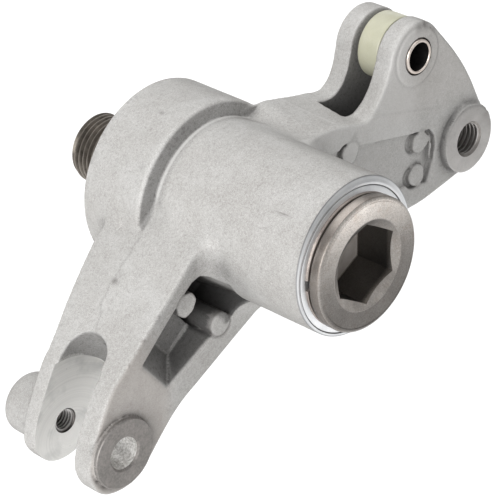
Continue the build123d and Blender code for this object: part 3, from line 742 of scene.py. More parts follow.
def casting_field():
    # rear collar on the machined axis; its front wall meets the barrel in a crease
    d_col = rev([(-6, -27.1), (27.0, -27.1), (31.0, -26.25), (31.85, -25.95), (32.4, -25.4), (32.6, -24.6), (32.68, -1.0),
                 (32.7, 2.0), (-6, 2.0)])
    # cast barrel, a little off the machined axis toward the front, with a thin lip at the crease
    cy = smooth(-YY, 32.0, 50.0).astype(F4)
    rr3 = np.sqrt((X2[:, None, :] - BARREL[0] * cy) ** 2 + (Z2[:, None, :] - BARREL[1] * cy) ** 2)
    rad = np.interp(ys, [-92, -86, -51, -40, -31.0, -28.6, -28.0, -27.6, -27.2, -26.6],
                    [26.0, 26.05, 26.15, 26.8, 27.35, 27.45, 27.62, 27.75, 27.5, 27.2]).astype(F4)
    d_bar = np.maximum(rr3 - rad[None, :, None], YY + 12.0)
    del rr3
    d_rev = rnd_or(d_col, d_bar, 0.35)

    # upper arm: outline changes a little from the front plane to the rear plane
    lobe = arc(LOBE, 12.6, 176, 46, 22)
    lobe_far = arc(LOBE, 12.6, 178, 46, 22)
    right = curve([lobe[-1], (87.2, 35.0), (92.2, 29.1), (96.4, 23.4), (99.9, 17.9), (102.7, 12.6), (105.2, 7.8), (108.2, 1.4),
                   (107.8, -6.6), (102.6, -13.2), (93.6, -15.5), (85.0, -17.6), (76.4, -19.4), (67.0, -20.3)])
    foot = [(45.0, -21.1), (20.0, -22.2), (0.0, -22.8)]
    near = curve([(0.0, 14.0), (10.0, 18.5), (16.0, 20.6), (19.6, 21.6), (25.0, 22.0), (31.2, 21.8), (38.0, 20.6), (43.0, 19.4),
                  (46.8, 19.5), (50.4, 22.6), (53.4, 26.6), (55.6, 30.7), (57.1, 34.5)]) + lobe + right + foot
    far = curve([(0.0, 20.0), (8.0, 23.6), (12.0, 24.1), (15.0, 23.9), (17.6, 24.3), (20.4, 25.6), (23.5, 26.3), (26.5, 25.9), (30.7, 25.2),
                 (35.0, 24.3), (39.3, 23.6), (43.6, 23.0), (47.6, 22.2), (50.8, 22.5), (54.2, 25.2), (56.4, 29.6), (57.2, 33.6)]) + lobe_far + right + foot
    dn, df = sd_poly(near, X2, Z2), sd_poly(far, X2, Z2)
    t = np.clip((YY + 51.0) / 24.0, 0, 1)
    d2u = dn[:, None, :] * (1 - t) + df[:, None, :] * t
    d_up = np.where(YY < -40.0, rnd_and(d2u, -51.0 - YY, 1.05), rnd_and(d2u, YY + 25.75, 0.7)).astype(F4)
    # narrow rear web that runs from the collar along the top of the arm
    web = sd_poly([(8.0, 10.0), (13.0, 26.0), (16.6, 26.4), (20.0, 26.35), (22.6, 26.3), (26.0, 25.8), (27.0, 25.4), (27.0, 10.0)], X2, Z2)
    d_web = ext(web, -26.6, -25.75, 0.3)
    d_up = rnd_or(d_up, d_web, 0.4)

    # pulley boss
    rim = (BOSS[0] + 0.35, BOSS[1])
    d_boss = ext(circ(rim, 12.25), -55.5, -24.0)
    # raised seats round the spring sleeve
    seat = ext(circ(SLEEVE, 10.4), -51.3, -25.5, 0.2)
    d_up = np.minimum(d_up, seat)
    sring = np.hypot(np.hypot(X2 - SLEEVE[0], Z2 - SLEEVE[1])[:, None, :] - 10.5, YY + 51.05)
    d_up = np.maximum(d_up, -(sring - 0.34))
    d_up = rnd_or(d_up, d_boss, 0.35)

    # lower arm: near and far ears differ a little at the round end
    left = curve([(-25.2, 8.8), (-38.0, -4.7), (-51.0, -17.9), (-61.4, -28.5), (-64.4, -31.3), (-67.0, -34.0), (-69.3, -37.6), (-73.0, -45.2),
                  (-75.8, -51.6), (-77.3, -57.2)])
    left_near = curve([(-14.0, 2.0), (-20.0, 1.4), (-26.4, 1.0), (-29.4, 0.4), (-32.3, -1.0), (-35.2, -3.6), (-38.6, -7.2), (-42.2, -10.7), (-50.7, -18.7),
                       (-57.5, -25.1), (-61.6, -29.0), (-64.5, -31.6), (-67.1, -34.3), (-69.4, -37.8), (-73.0, -45.2), (-75.8, -51.6), (-77.3, -57.2)])
    near_l = left_near + curve([left[-1], (-77.1, -61.9), (-74.9, -66.9), (-71.3, -70.1), (-67.0, -71.3), (-62.8, -71.3),
                                            (-58.9, -70.5), (-55.2, -68.3), (-51.6, -64.4), (-46.0, -58.1), (-41.2, -53.3), (-36.2, -49.5),
                                            (-30.9, -46.5), (-25.5, -43.3), (-14.7, -37.0), (-3.8, -30.7)])[1:] + [(8.0, -24.0), (0.0, 0.0)]
    left_far = curve([(-22.0, 12.5), (-25.3, 7.9), (-28.6, 3.6), (-31.9, -0.2), (-36.0, -4.0), (-40.6, -8.0), (-45.4, -12.4), (-51.0, -17.9), (-61.4, -28.5),
                      (-64.4, -31.3), (-67.0, -34.0), (-69.3, -37.6), (-73.0, -45.2), (-75.8, -51.6), (-77.3, -57.2)])
    far_l = [(-12.0, 22.6)] + left_far + curve([left[-1], (-77.3, -61.9), (-74.6, -66.5), (-71.0, -69.2), (-66.9, -70.1), (-62.9, -69.8),
                                           (-58.8, -68.4), (-55.0, -65.8), (-51.0, -61.9), (-46.0, -57.2), (-41.2, -53.3), (-36.2, -49.5),
                                           (-30.9, -46.5), (-25.5, -43.3), (-14.7, -37.0), (-3.8, -30.7)])[1:] + [(8.0, -24.0), (0.0, 0.0)]
    t = np.clip((YY + 43.0) / 16.0, 0, 1)
    d2l = sd_poly(near_l, X2, Z2)[:, None, :] * (1 - t) + sd_poly(far_l, X2, Z2)[:, None, :] * t
    yr = np.interp(S2, [0.0, 33.5, 56.0, 71.0, 110.0], [-12.0, -12.0, -15.8, -19.2, -19.2]).astype(F4)[:, None, :]
    d_low = np.where(YY < -34.0, rnd_and(d2l, -51.0 - YY, 1.25), rnd_and(d2l, (YY - yr) * 0.975, 0.8)).astype(F4)

    # rear boss behind the threaded ear, rounded end
    d_rb = ext(circ(CLEVIS, 10.3), -30.0, -5.5, 3.4)
    d_low = rnd_or(d_low, d_rb, 0.5)
    # pad on the front ear, with a fine line where it meets the ear
    d_pad = ext(circ(CLEVIS, 11.9), -54.6, -45.0)
    d_low = np.minimum(d_low, d_pad)
    pring = np.hypot(np.hypot(X2 - CLEVIS[0], Z2 - CLEVIS[1])[:, None, :] - 12.15, YY + 51.1)
    d_low = np.maximum(d_low, -(pring - 0.28))

    # clevis slot with its arch, softened inner corners and edges
    sg = np.arange(-80, 120, 0.25, dtype=F4)
    U, V = np.meshgrid(sg, ys, indexing="ij")
    yc, rr = -33.75, 8.2
    arch = [(130.0, -43.4), (71.5, -43.4), (69.4, -42.6), (68.0, yc - rr)] + [(68.0 - rr * math.sin(math.radians(a)), yc - rr * math.cos(math.radians(a)))
                                                                             for a in range(6, 180, 6)] + [(68.0, yc + rr), (130.0, yc + rr)]
    slot = lut(S2, -80.0, 0.25, sd_poly(arch, U, V))
    d_low = rnd_sub(d_low, slot, 0.4)

    # union: wide blend of the barrel with both arms, small blend at the collar
    arms = np.minimum(d_up, d_low)
    D = rnd_or(d_rev, arms, 0.9)
    wb = smooth(-YY, 28.5, 38.0).astype(F4)
    D = np.minimum(D, rnd_or(d_bar, d_up, 4.2) * wb + rnd_or(d_bar, d_up, 0.8) * (1 - wb))
    D = np.minimum(D, rnd_or(d_bar, d_low, 6.5) * wb + rnd_or(d_bar, d_low, 1.6) * (1 - wb))
    D = np.minimum(D, rnd_or(d_up, d_low, 3.0))
    wc = smooth(YY, -24.5, -18.0).astype(F4)
    D = np.minimum(D, rnd_or(d_col, d_low, 2.6) + (1 - wc) * 6.0)
    del d_rev, d_bar, d_col, arms, slot

    # spring fork gap: through the upper arm between both ears
    gap = sd_poly([(42.2, 70.0), (42.2, 11.0)] + arc((45.2, 11.0), 3.0, 180, 270, 5) + [(76.0, 8.0), (80.0, 10.3), (118.0, 35.0), (118.0, 70.0)], X2, Z2)
    d_gap = rnd_and(gap[:, None, :], slab(-44.0, -33.0), 1.2)
    D = rnd_sub(D, d_gap, 0.3)

    # lower pocket: drafted walls, sloped outer end, deeper well next to the hub
    fl = sd_poly([(-58.2, -36.2), (-44.6, -22.3), (-35.2, -13.2), (-32.6, -10.9), (-29.6, -9.9), (-27.0, -10.9), (-11.4, -23.4), (-12.6, -33.8),
                  (-30.6, -41.0), (-47.2, -50.0)], X2, Z2)[:, None, :]
    deep = smooth(S2, 40.0, 39.0).astype(F4)[:, None, :]
    fy = -41.5 + 9.0 * deep
    wall = (fl - (-41.5 - YY) * 0.1228) * 0.9925
    t_rim = np.interp(S2, [20.0, 26.0, 32.8, 46.2, 64.6, 80.0], [9.5, 9.9, 9.7, 6.5, 2.45, -1.0]).astype(F4)[:, None, :]
    t_in = np.minimum(t_rim, 5.55) - t_rim
    wide = smooth(S2, 41.2, 38.6).astype(F4)[:, None, :]
    wall = np.maximum(wall, (T2[:, None, :] - t_rim - (1 - wide) * t_in * np.clip((YY + 51.0) / 9.5, -0.2, 1.4) - 0.15 * deep) * 0.95)
    dp = rnd_and(wall, YY - fy, 0.9)
    ramp = (S2[:, None, :] - 51.6) * 0.6815 + (YY + 41.5) * 0.7317
    dp = rnd_and(dp, ramp, 0.7)
    dp = np.maximum(dp, -56.0 - YY)
    D = rnd_sub(D, dp, 0.6)
    gring = np.hypot(np.hypot(X2 + 20.9, Z2 + 29.0)[:, None, :] - 4.5, YY + 51.0)
    D = np.maximum(D, -(gring - 0.45))
    # ejector stubs with uneven rims
    for (cx, cz), ph in (((-35.5, -16.7), 0.4), ((-20.9, -29.0), 2.1)):
        a = np.arctan2(Z2 - cz, X2 - cx)
        c2 = circ((cx, cz), 4.15) - 0.16 * np.sin(3 * a + ph) - 0.10 * np.sin(7 * a + 2 * ph)
        D = rnd_or(D, ext(c2, -50.9, -30.0, 0.3), 0.25)
    # upper shallow pocket: deeper to the right, three flush stubs with wells beside them
    pk = sd_poly([(25.0, 14.0), (31.0, 13.2), (44.3, 11.6), (57.6, 9.5), (72.5, 7.0), (78.4, 6.4), (80.9, 3.4), (81.3, -0.6),
                  (80.6, -5.4), (79.0, -9.4), (77.6, -12.9), (67.4, -10.6), (60.0, -10.6), (44.0, -12.0), (24.0, -13.0)], X2, Z2)
    depth = np.interp(X2, [24, 34, 60, 75, 79, 82], [0.6, 0.8, 1.1, 1.35, 1.9, 2.0]).astype(F4)
    dpk = rnd_and(pk[:, None, :], YY + 51.0 - depth[:, None, :], 0.3)
    D = rnd_sub(D, dpk, 0.35)
    groove = sd_line([(77.6, 6.0), (80.0, 3.2), (80.5, -0.6), (79.9, -4.6), (78.3, -8.4), (77.0, -12.0)], X2, Z2)[:, None, :]
    D = np.maximum(D, -(np.hypot(groove * 1.05, YY + 49.9) - 0.9))
    for (wx, wz), (cx, cz), ph, dep in (((36.8, 10.6), (38.9, 10.5), 0.3, 2.2), ((71.3, 3.5), (73.9, 3.2), 1.7, 2.0),
                                        ((70.6, -8.9), (72.5, -8.6), 4.0, 1.8)):
        D = rnd_sub(D, ext(circ((wx, wz), 3.9), -54.0, -51.0 + dep, 0.8), 0.5)
        a = np.arctan2(Z2 - cz, X2 - cx)
        c2 = circ((cx, cz), 3.95) - 0.18 * np.sin(3 * a + ph) - 0.14 * np.sin(5 * a + 1.3 * ph) - 0.08 * np.sin(11 * a + ph)
        D = rnd_or(D, ext(c2, -50.95, -45.0, 0.25), 0.15)
    # short raised lip right of the middle stub
    lip = sd_line([(78.2, 4.6), (78.9, 0.5), (78.6, -4.0)], X2, Z2)[:, None, :]
    D = rnd_or(D, np.hypot(lip, YY + 50.6) - 0.45, 0.4)

    # surface relief, added as local offsets near the front faces
    wf = smooth(-YY, 47.0, 50.0)
    ln = [(43.5, 20.6), (58.0, 18.2), (72.4, 15.1), (90.3, 11.4), (104.5, 8.2)]
    dl = sd_line(ln, X2, Z2)
    ear = sd_poly([(40.0, 21.2)] + ln + [(118.0, 20.0), (90.0, 60.0), (50.0, 60.0)], X2, Z2)
    rel = -0.11 * np.exp(-(dl / 0.5) ** 2) + 0.12 * smooth(-ear, 0.0, 0.5)
    patch = sd_poly([(45.4, 12.2), (46.4, 18.0), (51.2, 16.6), (50.1, 11.3)], X2, Z2)
    rel += 0.16 * smooth(-patch, -0.2, 0.4)
    step = sd_poly([(15.0, 13.0), (30.0, 12.9), (36.0, 16.8), (30.5, 19.6), (15.0, 19.0)], X2, Z2)
    rel += -0.10 * smooth(-step, -0.3, 0.6)
    D = D + (rel[:, None, :] * wf).astype(F4)
    # parting line along the left wall of the lower arm and over the arm's top
    U2, V2 = np.meshgrid(sg, ys, indexing="ij")
    pl = lut(S2, -80.0, 0.25, sd_line([(20.0, -28.0), (45.5, -28.2), (49.9, -28.8), (54.7, -31.0), (60.6, -33.3)], U2, V2))
    D -= 0.10 * np.exp(-(pl / 0.45) ** 2) * (T2 < -14.0)[:, None, :]
    pt = sd_line([(30.7, -26.4), (31.5, -33.0), (33.0, -41.0), (34.3, -47.5)], *np.meshgrid(xs, ys, indexing="ij"))[:, :, None]
    D -= (0.10 * np.exp(-(pt / 0.4) ** 2) * (Z2 > 15.0)[:, None, :]).astype(F4)
    # burrs and dents along the front left edge of the lower arm
    for x, y, z, r, s in ((-47.8, -50.9, -16.2, 0.6, -1), (-48.8, -50.8, -17.2, 0.45, -1), (-54.2, -50.8, -22.1, 0.55, -1),
                          (-57.4, -50.7, -24.6, 0.7, 1), (-60.6, -50.9, -28.3, 0.4, -1), (-42.6, -51.0, -9.2, 0.4, 1),
                          (-46.0, -28.9, -12.0, 0.8, 1), (-44.3, -29.6, -10.6, 0.5, 1), (-74.0, -50.6, -62.6, 0.8, 1),
                          (-71.6, -51.2, -66.0, 0.7, 1), (-69.0, -51.2, -67.6, 0.6, 1), (74.2, -50.9, 46.0, 0.7, 1),
                          (77.0, -51.0, 43.6, 0.6, 1), (106.2, -53.3, 5.6, 0.8, 1), (108.2, -53.2, 2.0, 0.7, 1)):
        i0, i1 = np.searchsorted(xs, [x - 3, x + 3])
        j0, j1 = np.searchsorted(ys, [y - 3, y + 3])
        k0, k1 = np.searchsorted(zs, [z - 3, z + 3])
        dd = np.sqrt((xs[i0:i1, None, None] - x) ** 2 + (ys[None, j0:j1, None] - y) ** 2 + (zs[None, None, k0:k1] - z) ** 2) - r
        blk = D[i0:i1, j0:j1, k0:k1]
        D[i0:i1, j0:j1, k0:k1] = rnd_sub(blk, dd, 0.3) if s > 0 else rnd_or(blk, dd, 0.5)
    # slight unevenness of the cast skin
    D += 0.050 * wavy(9.0, 7)
    D += 0.018 * wavy(3.2, 11)
    return D


def mesh_from_field(name, D, target):
    band = 3.0 * H
    np.clip(D, -band, band, out=D)
    g = openvdb.FloatGrid(band)
    g.copyFromArray(np.ascontiguousarray(D, F4), tolerance=1e-4)
    pts, tris, quads = g.convertToPolygons(isovalue=0.0, adaptivity=0.0)
    pts = np.asarray(pts, F4) * H + np.asarray(LO, F4)
    print("field mesh", len(pts), len(tris), len(quads))
    me = bpy.data.meshes.new(name)
    me.vertices.add(len(pts))
    me.vertices.foreach_set("co", (pts * MM).astype(F4).ravel())
    nq, nt = len(quads), len(tris)
    me.loops.add(nq * 4 + nt * 3)
    me.polygons.add(nq + nt)
    me.loops.foreach_set("vertex_index", np.concatenate([np.asarray(quads).ravel(), np.asarray(tris).ravel()]).astype(np.int32))
    me.polygons.foreach_set("loop_start", np.concatenate([np.arange(nq) * 4, nq * 4 + np.arange(nt) * 3]).astype(np.int32))
    me.update(calc_edges=True)
    me.validate()
    ob = bpy.data.objects.new(name, me)
    bpy.context.scene.collection.objects.link(ob)
    # outward normals
    bm = bmesh.new()
    bm.from_mesh(me)
    if bm.calc_volume(signed=True) < 0:
        bmesh.ops.reverse_faces(bm, faces=bm.faces)
        bm.to_mesh(me)
    bm.free()
    tri = nq * 2 + nt
    if tri > target:
        md = ob.modifiers.new("dec", "DECIMATE")
        md.ratio = target / tri
        apply_mods(ob)
    print("decimated", len(ob.data.polygons))
    return ob


field = casting_field()
OPEN = field[::2, ::2, ::2].copy()          # kept for the depth of recesses
skin = mesh_from_field("lever_casting_skin", field, 165000)
del field
skin.data.materials.clear()
for m in (M_CAST, M_TURN, M_BORE, M_MILL, M_PAD, M_BOSSF, M_TAP12, M_TAP8, M_SEAT, M_PAD_BORE_LIGHT):
    skin.data.materials.append(m)

# machined features: turned hub end, bore and rear face
hub_cut = lathe("cut_hub", [
    (0, -97), (45, -97), (45, -86.95), (28.2, -86.95), (26.9, -87.42), (25.6, -88.08), (25.1, -88.34), (24.8, -88.42), (24.3, -88.42), (24.16, -88.3),
    (24.0, -88.12), (23.84, -88.3), (23.7, -88.4), (16.6, -88.4), (16.0, -87.8), (16.0, -61.0), (17.0, -60.0), (17.0, -37.0),
    (16.0, -36.0), (16.0, -12.5), (17.2, -12.5), (17.2, -12.0), (20.0, -12.0), (20.0, -5.0), (22.5, -5.0), (22.5, -0.9), (23.0, -0.4),
    (31.7, -0.4), (32.15, -0.75), (32.6, -0.9), (45, -0.9), (45, 4), (0, 4)], n=192)
boolean(skin, hub_cut)
boss_cut = lathe("cut_boss", [(0, -60), (18, -60), (18, -52.6), (12.6, -52.6), (12.1, -53.0), (11.75, -53.28), (11.3, -53.4), (6.4, -53.4), (6.0, -53.05), (5.45, -52.4),
                              (5.6, -25.6), (6.9, -24.6), (15.5, -24.6), (15.5, -20), (0, -20)], BOSS, 96)
boolean(skin, boss_cut)
clevis_cut = lathe("cut_clevis", [(0, -60), (18, -60), (18, -52.2), (12.25, -52.2), (11.6, -53.0), (6.15, -53.0), (5.5, -52.35), (5.5, -40.0),
                                  (22.4, -40.0), (22.4, -25.15), (22.25, -25.0), (4.25, -25.0), (3.6, -24.35), (0, -24.0)], CLEVIS, 160)
boolean(skin, clevis_cut)
sleeve_cut = lathe("cut_sleeve", [(0, -56), (6.55, -56), (6.55, -51.3), (6.45, -50.9), (6.1, -50.4), (6.1, -26.1), (6.6, -25.5), (6.6, -20), (0, -20)], SLEEVE, 72)
boolean(skin, sleeve_cut)
tap12 = screw_solid("cut_m12", BOSS, -53.2, -24.9, 1.75, [(0.0, 6.0), (0.2, 6.0), (0.74, 5.1), (1.2, 5.1)], None, 64)
boolean(skin, tap12)
tap8 = screw_solid("cut_m8", CLEVIS, -25.6, -7.9, 1.25, [(0.0, 4.0), (0.14, 4.0), (0.53, 3.35), (0.86, 3.35)], None, 48)
boolean(skin, tap8)

# materials by place
cen, nor = poly_centres(skin.data)
mi = np.zeros(len(cen), np.int32)
rh = np.hypot(cen[:, 0], cen[:, 2])
rb = np.hypot(cen[:, 0] - BOSS[0], cen[:, 2] - BOSS[1])
rc = np.hypot(cen[:, 0] - CLEVIS[0], cen[:, 2] - CLEVIS[1])
rl = np.hypot(cen[:, 0] - SLEEVE[0], cen[:, 2] - SLEEVE[1])
yc = cen[:, 1]
cone = np.abs(yc + 87.42 + (26.9 - rh) * 0.508)
mi[(yc < -87.69) & (rh > 15.9) & (rh < 25.2)] = 1
mi[(yc < -86.9) & (rh >= 25.15) & (nor[:, 1] < -0.6)] = 1
mi[(rh < 23.2) & (yc > -87.9) & ((rh < 20.3) | (yc > -5.3))] = 2
mi[(yc > -0.93) & (rh > 22.0)] = 2
mi[(rc < 22.45) & (yc > -25.49) & (yc < -24.98)] = 3
mi[(rc < 12.3) & (yc < -52.15)] = 4
mi[(rc < 5.9) & (yc < -43.0) & (yc > -52.3)] = 9
mi[(rc < 4.3) & (yc > -25.1) & (yc < -7.8)] = 7
mi[(rb < 12.3) & (yc < -52.98)] = 5
mi[(rb < 15.6) & (np.abs(yc + 24.6) < 0.03)] = 5
mi[(rb < 6.75) & (yc > -53.38) & (yc < -24.62)] = 6
mi[(rl < 6.57) & (yc > -52) & (yc < -25)] = 8
skin.data.polygons.foreach_set("material_index", mi)

# place-dependent colour, stored per vertex: painted shade, painted highlight, dirt and a warm tint
P = vert_array(skin.data) / MM
ne = len(skin.data.edges)
ev = np.zeros(ne * 2, np.int32)
skin.data.edges.foreach_get("vertices", ev)
ev = ev.reshape(-1, 2)
vn = np.zeros(len(P) * 3, F4)
skin.data.vertices.foreach_get("normal", vn)
vn = vn.reshape(-1, 3)
dp = P[ev[:, 1]] - P[ev[:, 0]]
dn = vn[ev[:, 1]] - vn[ev[:, 0]]
ln = np.maximum((dp ** 2).sum(1), 0.02)
kc = np.clip((dp * dn).sum(1) / ln, -1.5, 1.5)
acc = np.bincount(ev[:, 0], kc, len(P)) + np.bincount(ev[:, 1], kc, len(P))
cnt = np.bincount(ev[:, 0], minlength=len(P)) + np.bincount(ev[:, 1], minlength=len(P))
curv = acc / np.maximum(cnt, 1)
for _ in range(2):
    s = np.bincount(ev[:, 0], curv[ev[:, 1]], len(P)) + np.bincount(ev[:, 1], curv[ev[:, 0]], len(P))
    curv = 0.5 * curv + 0.5 * s / np.maximum(cnt, 1)
s_ax = -0.755 * P[:, 0] - 0.655 * P[:, 2]
t_ax = 0.655 * P[:, 0] - 0.755 * P[:, 2]


def blob(c, r):
    return np.exp(-(((P - np.asarray(c, F4)) ** 2).sum(1)) / (r * r))


def line3(pts, r):
    d = np.full(len(P), 1e9)
    for a, b in zip(pts[:-1], pts[1:]):
        a, b = np.asarray(a, float), np.asarray(b, float)
        e = b - a
        t = np.clip(((P - a) @ e) / (e @ e), 0, 1)
        d = np.minimum(d, ((P - a - t[:, None] * e) ** 2).sum(1))
    return np.exp(-d / (r * r))


def sample_open(Q):
    f = (Q - np.asarray(LO, F4)) / (2 * H)
    sh = np.array(OPEN.shape)
    ok = ((f >= 0) & (f < sh - 1.01)).all(1)
    f = np.clip(f, 0, sh - 1.01)
    i = f.astype(np.int32)
    w = f - i
    out = np.zeros(len(Q), F4)
    for a in (0, 1):
        for b in (0, 1):
            for c in (0, 1):
                k = (w[:, 0] if a else 1 - w[:, 0]) * (w[:, 1] if b else 1 - w[:, 1]) * (w[:, 2] if c else 1 - w[:, 2])
                out += (k * OPEN[i[:, 0] + a, i[:, 1] + b, i[:, 2] + c]).astype(F4)
    return np.where(ok, out, 99.0)


def closed_in(dist):
    return np.clip(1.0 - sample_open(P + vn * dist) / dist, 0, 1)


# painted shade: darkness from how closed in each point is by the nearby surfaces
near_occ = 0.5 * closed_in(1.2) + 0.5 * closed_in(2.6)
wide_occ = 0.5 * closed_in(5.0) + 0.5 * closed_in(9.0)
rv = np.hypot(P[:, 0], P[:, 2])
painted_shade = np.clip(near_occ * 0.9 + wide_occ * 0.75 - 0.10, 0, 1)
# wall of the collar step: painted dark, partly as shade in the step and partly as a darker unblasted skin, darker
# toward -x
wallm = smooth(rv, 27.3, 27.9) * smooth(-rv, -32.2, -31.5) * smooth(-P[:, 1], 25.6, 26.0) * smooth(P[:, 1], -28.0, -27.3)
painted_shade = painted_shade * (1 - wallm) + wallm * (0.34 + 0.16 * smooth(-P[:, 0], -2.0, 14.0))
# painted shade inside the spring fork, the clevis slot and the lower pocket
gap_v = sd_poly([(42.2, 70.0), (42.2, 11.0)] + arc((45.2, 11.0), 3.0, 180, 270, 5) + [(76.0, 8.0), (80.0, 10.3), (118.0, 35.0), (118.0, 70.0)],
                P[:, 0].astype(F4), P[:, 2].astype(F4))
fork = smooth(P[:, 1], -44.6, -43.8) * smooth(-P[:, 1], 32.4, 33.2) * smooth(-gap_v, -0.5, -0.2)
fork = fork * (1 - 0.9 * smooth(P[:, 0] + 0.6 * P[:, 2], 78.0, 104.0))
painted_shade = np.maximum(painted_shade, fork * (0.58 + 0.26 * smooth(-P[:, 2], -30.0, -16.0)))
rcv = np.hypot(P[:, 0] - CLEVIS[0], P[:, 2] - CLEVIS[1])
arch_v = [(130.0, -43.4), (71.5, -43.4), (69.4, -42.6)] + [(68.0 - 8.2 * math.sin(math.radians(a)), -33.75 - 8.2 * math.cos(math.radians(a)))
                                                            for a in range(0, 181, 6)] + [(130.0, -25.55)]
slotm = smooth(-sd_poly(arch_v, s_ax.astype(F4), P[:, 1].astype(F4)), -0.55, -0.15)
painted_shade = np.maximum(painted_shade * (1 - smooth(s_ax, 52.0, 56.0) * smooth(-t_ax, 14.0, 16.0)), slotm * (0.34 + 0.12 * smooth(P[:, 1], -36.0, -27.0)) * smooth(-s_ax, -80.0, -66.0))
painted_shade = np.where((rcv < 23.0) & (P[:, 1] > -25.8) & (P[:, 1] < -24.4), 0.0, painted_shade)
pk_in = sd_poly([(-58.9, -36.4), (-44.6, -21.4), (-35.6, -12.5), (-32.6, -9.9), (-29.4, -8.9), (-26.4, -10.2), (-9.6, -23.4), (-10.6, -27.8), (-17.6, -31.4),
                 (-30.0, -37.6), (-47.0, -46.2)], P[:, 0].astype(F4), P[:, 2].astype(F4))
hubside = smooth(t_ax, -1.0, 3.0) * smooth(-t_ax, -11.0, -10.4) * smooth(-s_ax, -34.5, -32.5)
pock = smooth(-pk_in, 0.0, 0.9) * smooth(-P[:, 1], 29.0, 31.0) * (
    (1 - hubside) * smooth(P[:, 1], -50.7, -49.6) + hubside * smooth(P[:, 1], -58.0, -51.4))
# painted shade on the lower pocket's faces, set by which way each face points: floor, ramp and walls
is_floor = smooth(-vn[:, 1], 0.90, 0.98) * smooth(P[:, 1], -44.0, -42.5) * smooth(-P[:, 1], 40.0, 41.0)
is_ramp = smooth(-vn[:, 1], 0.60, 0.68) * smooth(vn[:, 1], -0.88, -0.80)
is_wall = smooth(-np.abs(vn[:, 1]), -0.45, -0.30)
well = smooth(-s_ax, -40.6, -39.6)
pocket_face_shade = 0.60 * is_ramp + 0.53 * is_floor + 0.84 * is_wall
pocket_face_shade = np.where(pocket_face_shade < 0.2, 0.45, pocket_face_shade) * (1 - well) + (0.96 - 0.10 * smooth(s_ax, 30.0, 38.5)) * well
stubs = smooth(-np.hypot(P[:, 0] + 35.5, P[:, 2] + 16.7), -5.0, -4.3) + smooth(-np.hypot(P[:, 0] + 20.9, P[:, 2] + 29.0), -5.0, -4.3)
pocket_face_shade = np.clip(pocket_face_shade, 0, 1) * (1 - 0.3 * np.clip(stubs, 0, 1) * smooth(-P[:, 1], 49.6, 50.4))
# painted highlight line along the crest in the lower pocket
crest_highlight = line3([(-26.4, -41.6, -30.2), (-21.6, -50.6, -33.9)], 0.5)
painted_shade = painted_shade * (1 - pock) + pock * np.maximum(pocket_face_shade, 0.35 * painted_shade)
# painted shade beside the pulley boss, darker toward -x; less painted shade on the upper arm's front, boss included,
# and round the pad
rbv = np.hypot(P[:, 0] - BOSS[0], P[:, 2] - BOSS[1])
boss_base_shade = smooth(rbv, 11.7, 12.0) * smooth(-rbv, -13.3, -12.6) * smooth(P[:, 1], -53.0, -52.7) * smooth(-P[:, 1], 50.0, 50.6)
# painted light on the upper arm's front face: less painted shade there, and a lighter colour further down
upper_front_light = smooth(-P[:, 1], 48.0, 49.5) * smooth(P[:, 0], 20.0, 26.0)
painted_shade = painted_shade * (1 - 0.55 * upper_front_light)
painted_shade = np.maximum(painted_shade, boss_base_shade * (0.15 + 0.60 * smooth(-P[:, 0], -96.0, -88.0)))
# painted shade in the fillets between the barrel and the lower arm's front face
painted_shade = np.maximum(painted_shade, 0.42 * blob((-24.8, -56.0, -7.0), 5.5))
painted_shade = np.maximum(painted_shade, 0.30 * blob((-25.4, -52.8, -4.6), 4.5))
painted_shade = np.maximum(painted_shade, 0.26 * blob((-23.5, -62.0, -10.5), 6.5))
painted_shade = np.maximum(painted_shade, 0.30 * blob((-27.0, -51.2, -5.0), 4.5))
# painted shade over the rear of the rear boss
painted_shade = np.maximum(painted_shade, 0.09 * (rcv < 11.0) * (P[:, 1] > -19.0))
# painted shade on faces turned downward, outside the lower arm's outer part
painted_shade = np.maximum(painted_shade, 0.07 * smooth(-vn[:, 2], 0.15, 0.6) * (s_ax < 30.0))
# painted shade on a strip of the lower arm's front face beside its left edge
front_strip_shade = smooth(-P[:, 1], 50.2, 50.8) * smooth(P[:, 1], -52.0, -51.4) * smooth(s_ax, 22.0, 28.0) * smooth(-s_ax, -66.0, -54.0) * smooth(-t_ax, 9.0, 12.0)
painted_shade = np.maximum(painted_shade, 0.22 * front_strip_shade)
# less painted shade round the pad, and a thin line of painted shade round its upper side
pads = smooth(-rcv, -17.0, -14.0) * smooth(-P[:, 1], 49.0, 50.0) * smooth(rcv, 11.0, 11.5)
painted_shade = painted_shade * (1 - 0.65 * pads)
painted_shade = np.maximum(painted_shade, 0.40 * pads * smooth(-np.abs(rcv - 12.1), -0.6, -0.2) * smooth(P[:, 2] + 0.4 * P[:, 0], CLEVIS[1] + 0.4 * CLEVIS[0] - 6.0, CLEVIS[1] + 0.4 * CLEVIS[0] + 4.0))
# painted highlight on convex edges, less where painted shade lies
painted_highlight = np.clip(curv * 0.8 - 0.14, 0, 1) * (1 - 0.7 * painted_shade)
# painted highlight along the thin lip at the collar crease
lip_highlight = smooth(rv, 26.6, 27.2) * smooth(-rv, -28.6, -28.0) * smooth(-np.abs(P[:, 1] + 28.0), -0.75, -0.3) * smooth(P[:, 2], 4.0, 12.0)
painted_highlight = painted_highlight * (1 - 0.6 * smooth(-P[:, 1], 47.5, 49.5) * smooth(-P[:, 0], 22.0, 30.0))
painted_highlight = np.maximum(painted_highlight, 0.9 * lip_highlight)
# painted light on the upper arm's front face
painted_highlight = np.maximum(painted_highlight, 0.34 * upper_front_light)
painted_highlight = np.maximum(painted_highlight, 1.15 * smooth(-P[:, 1], 50.0, 50.7) * smooth(P[:, 0], 12.0, 18.0) * smooth(-P[:, 0], -82.0, -60.0) * smooth(P[:, 2], -8.0, 4.0))
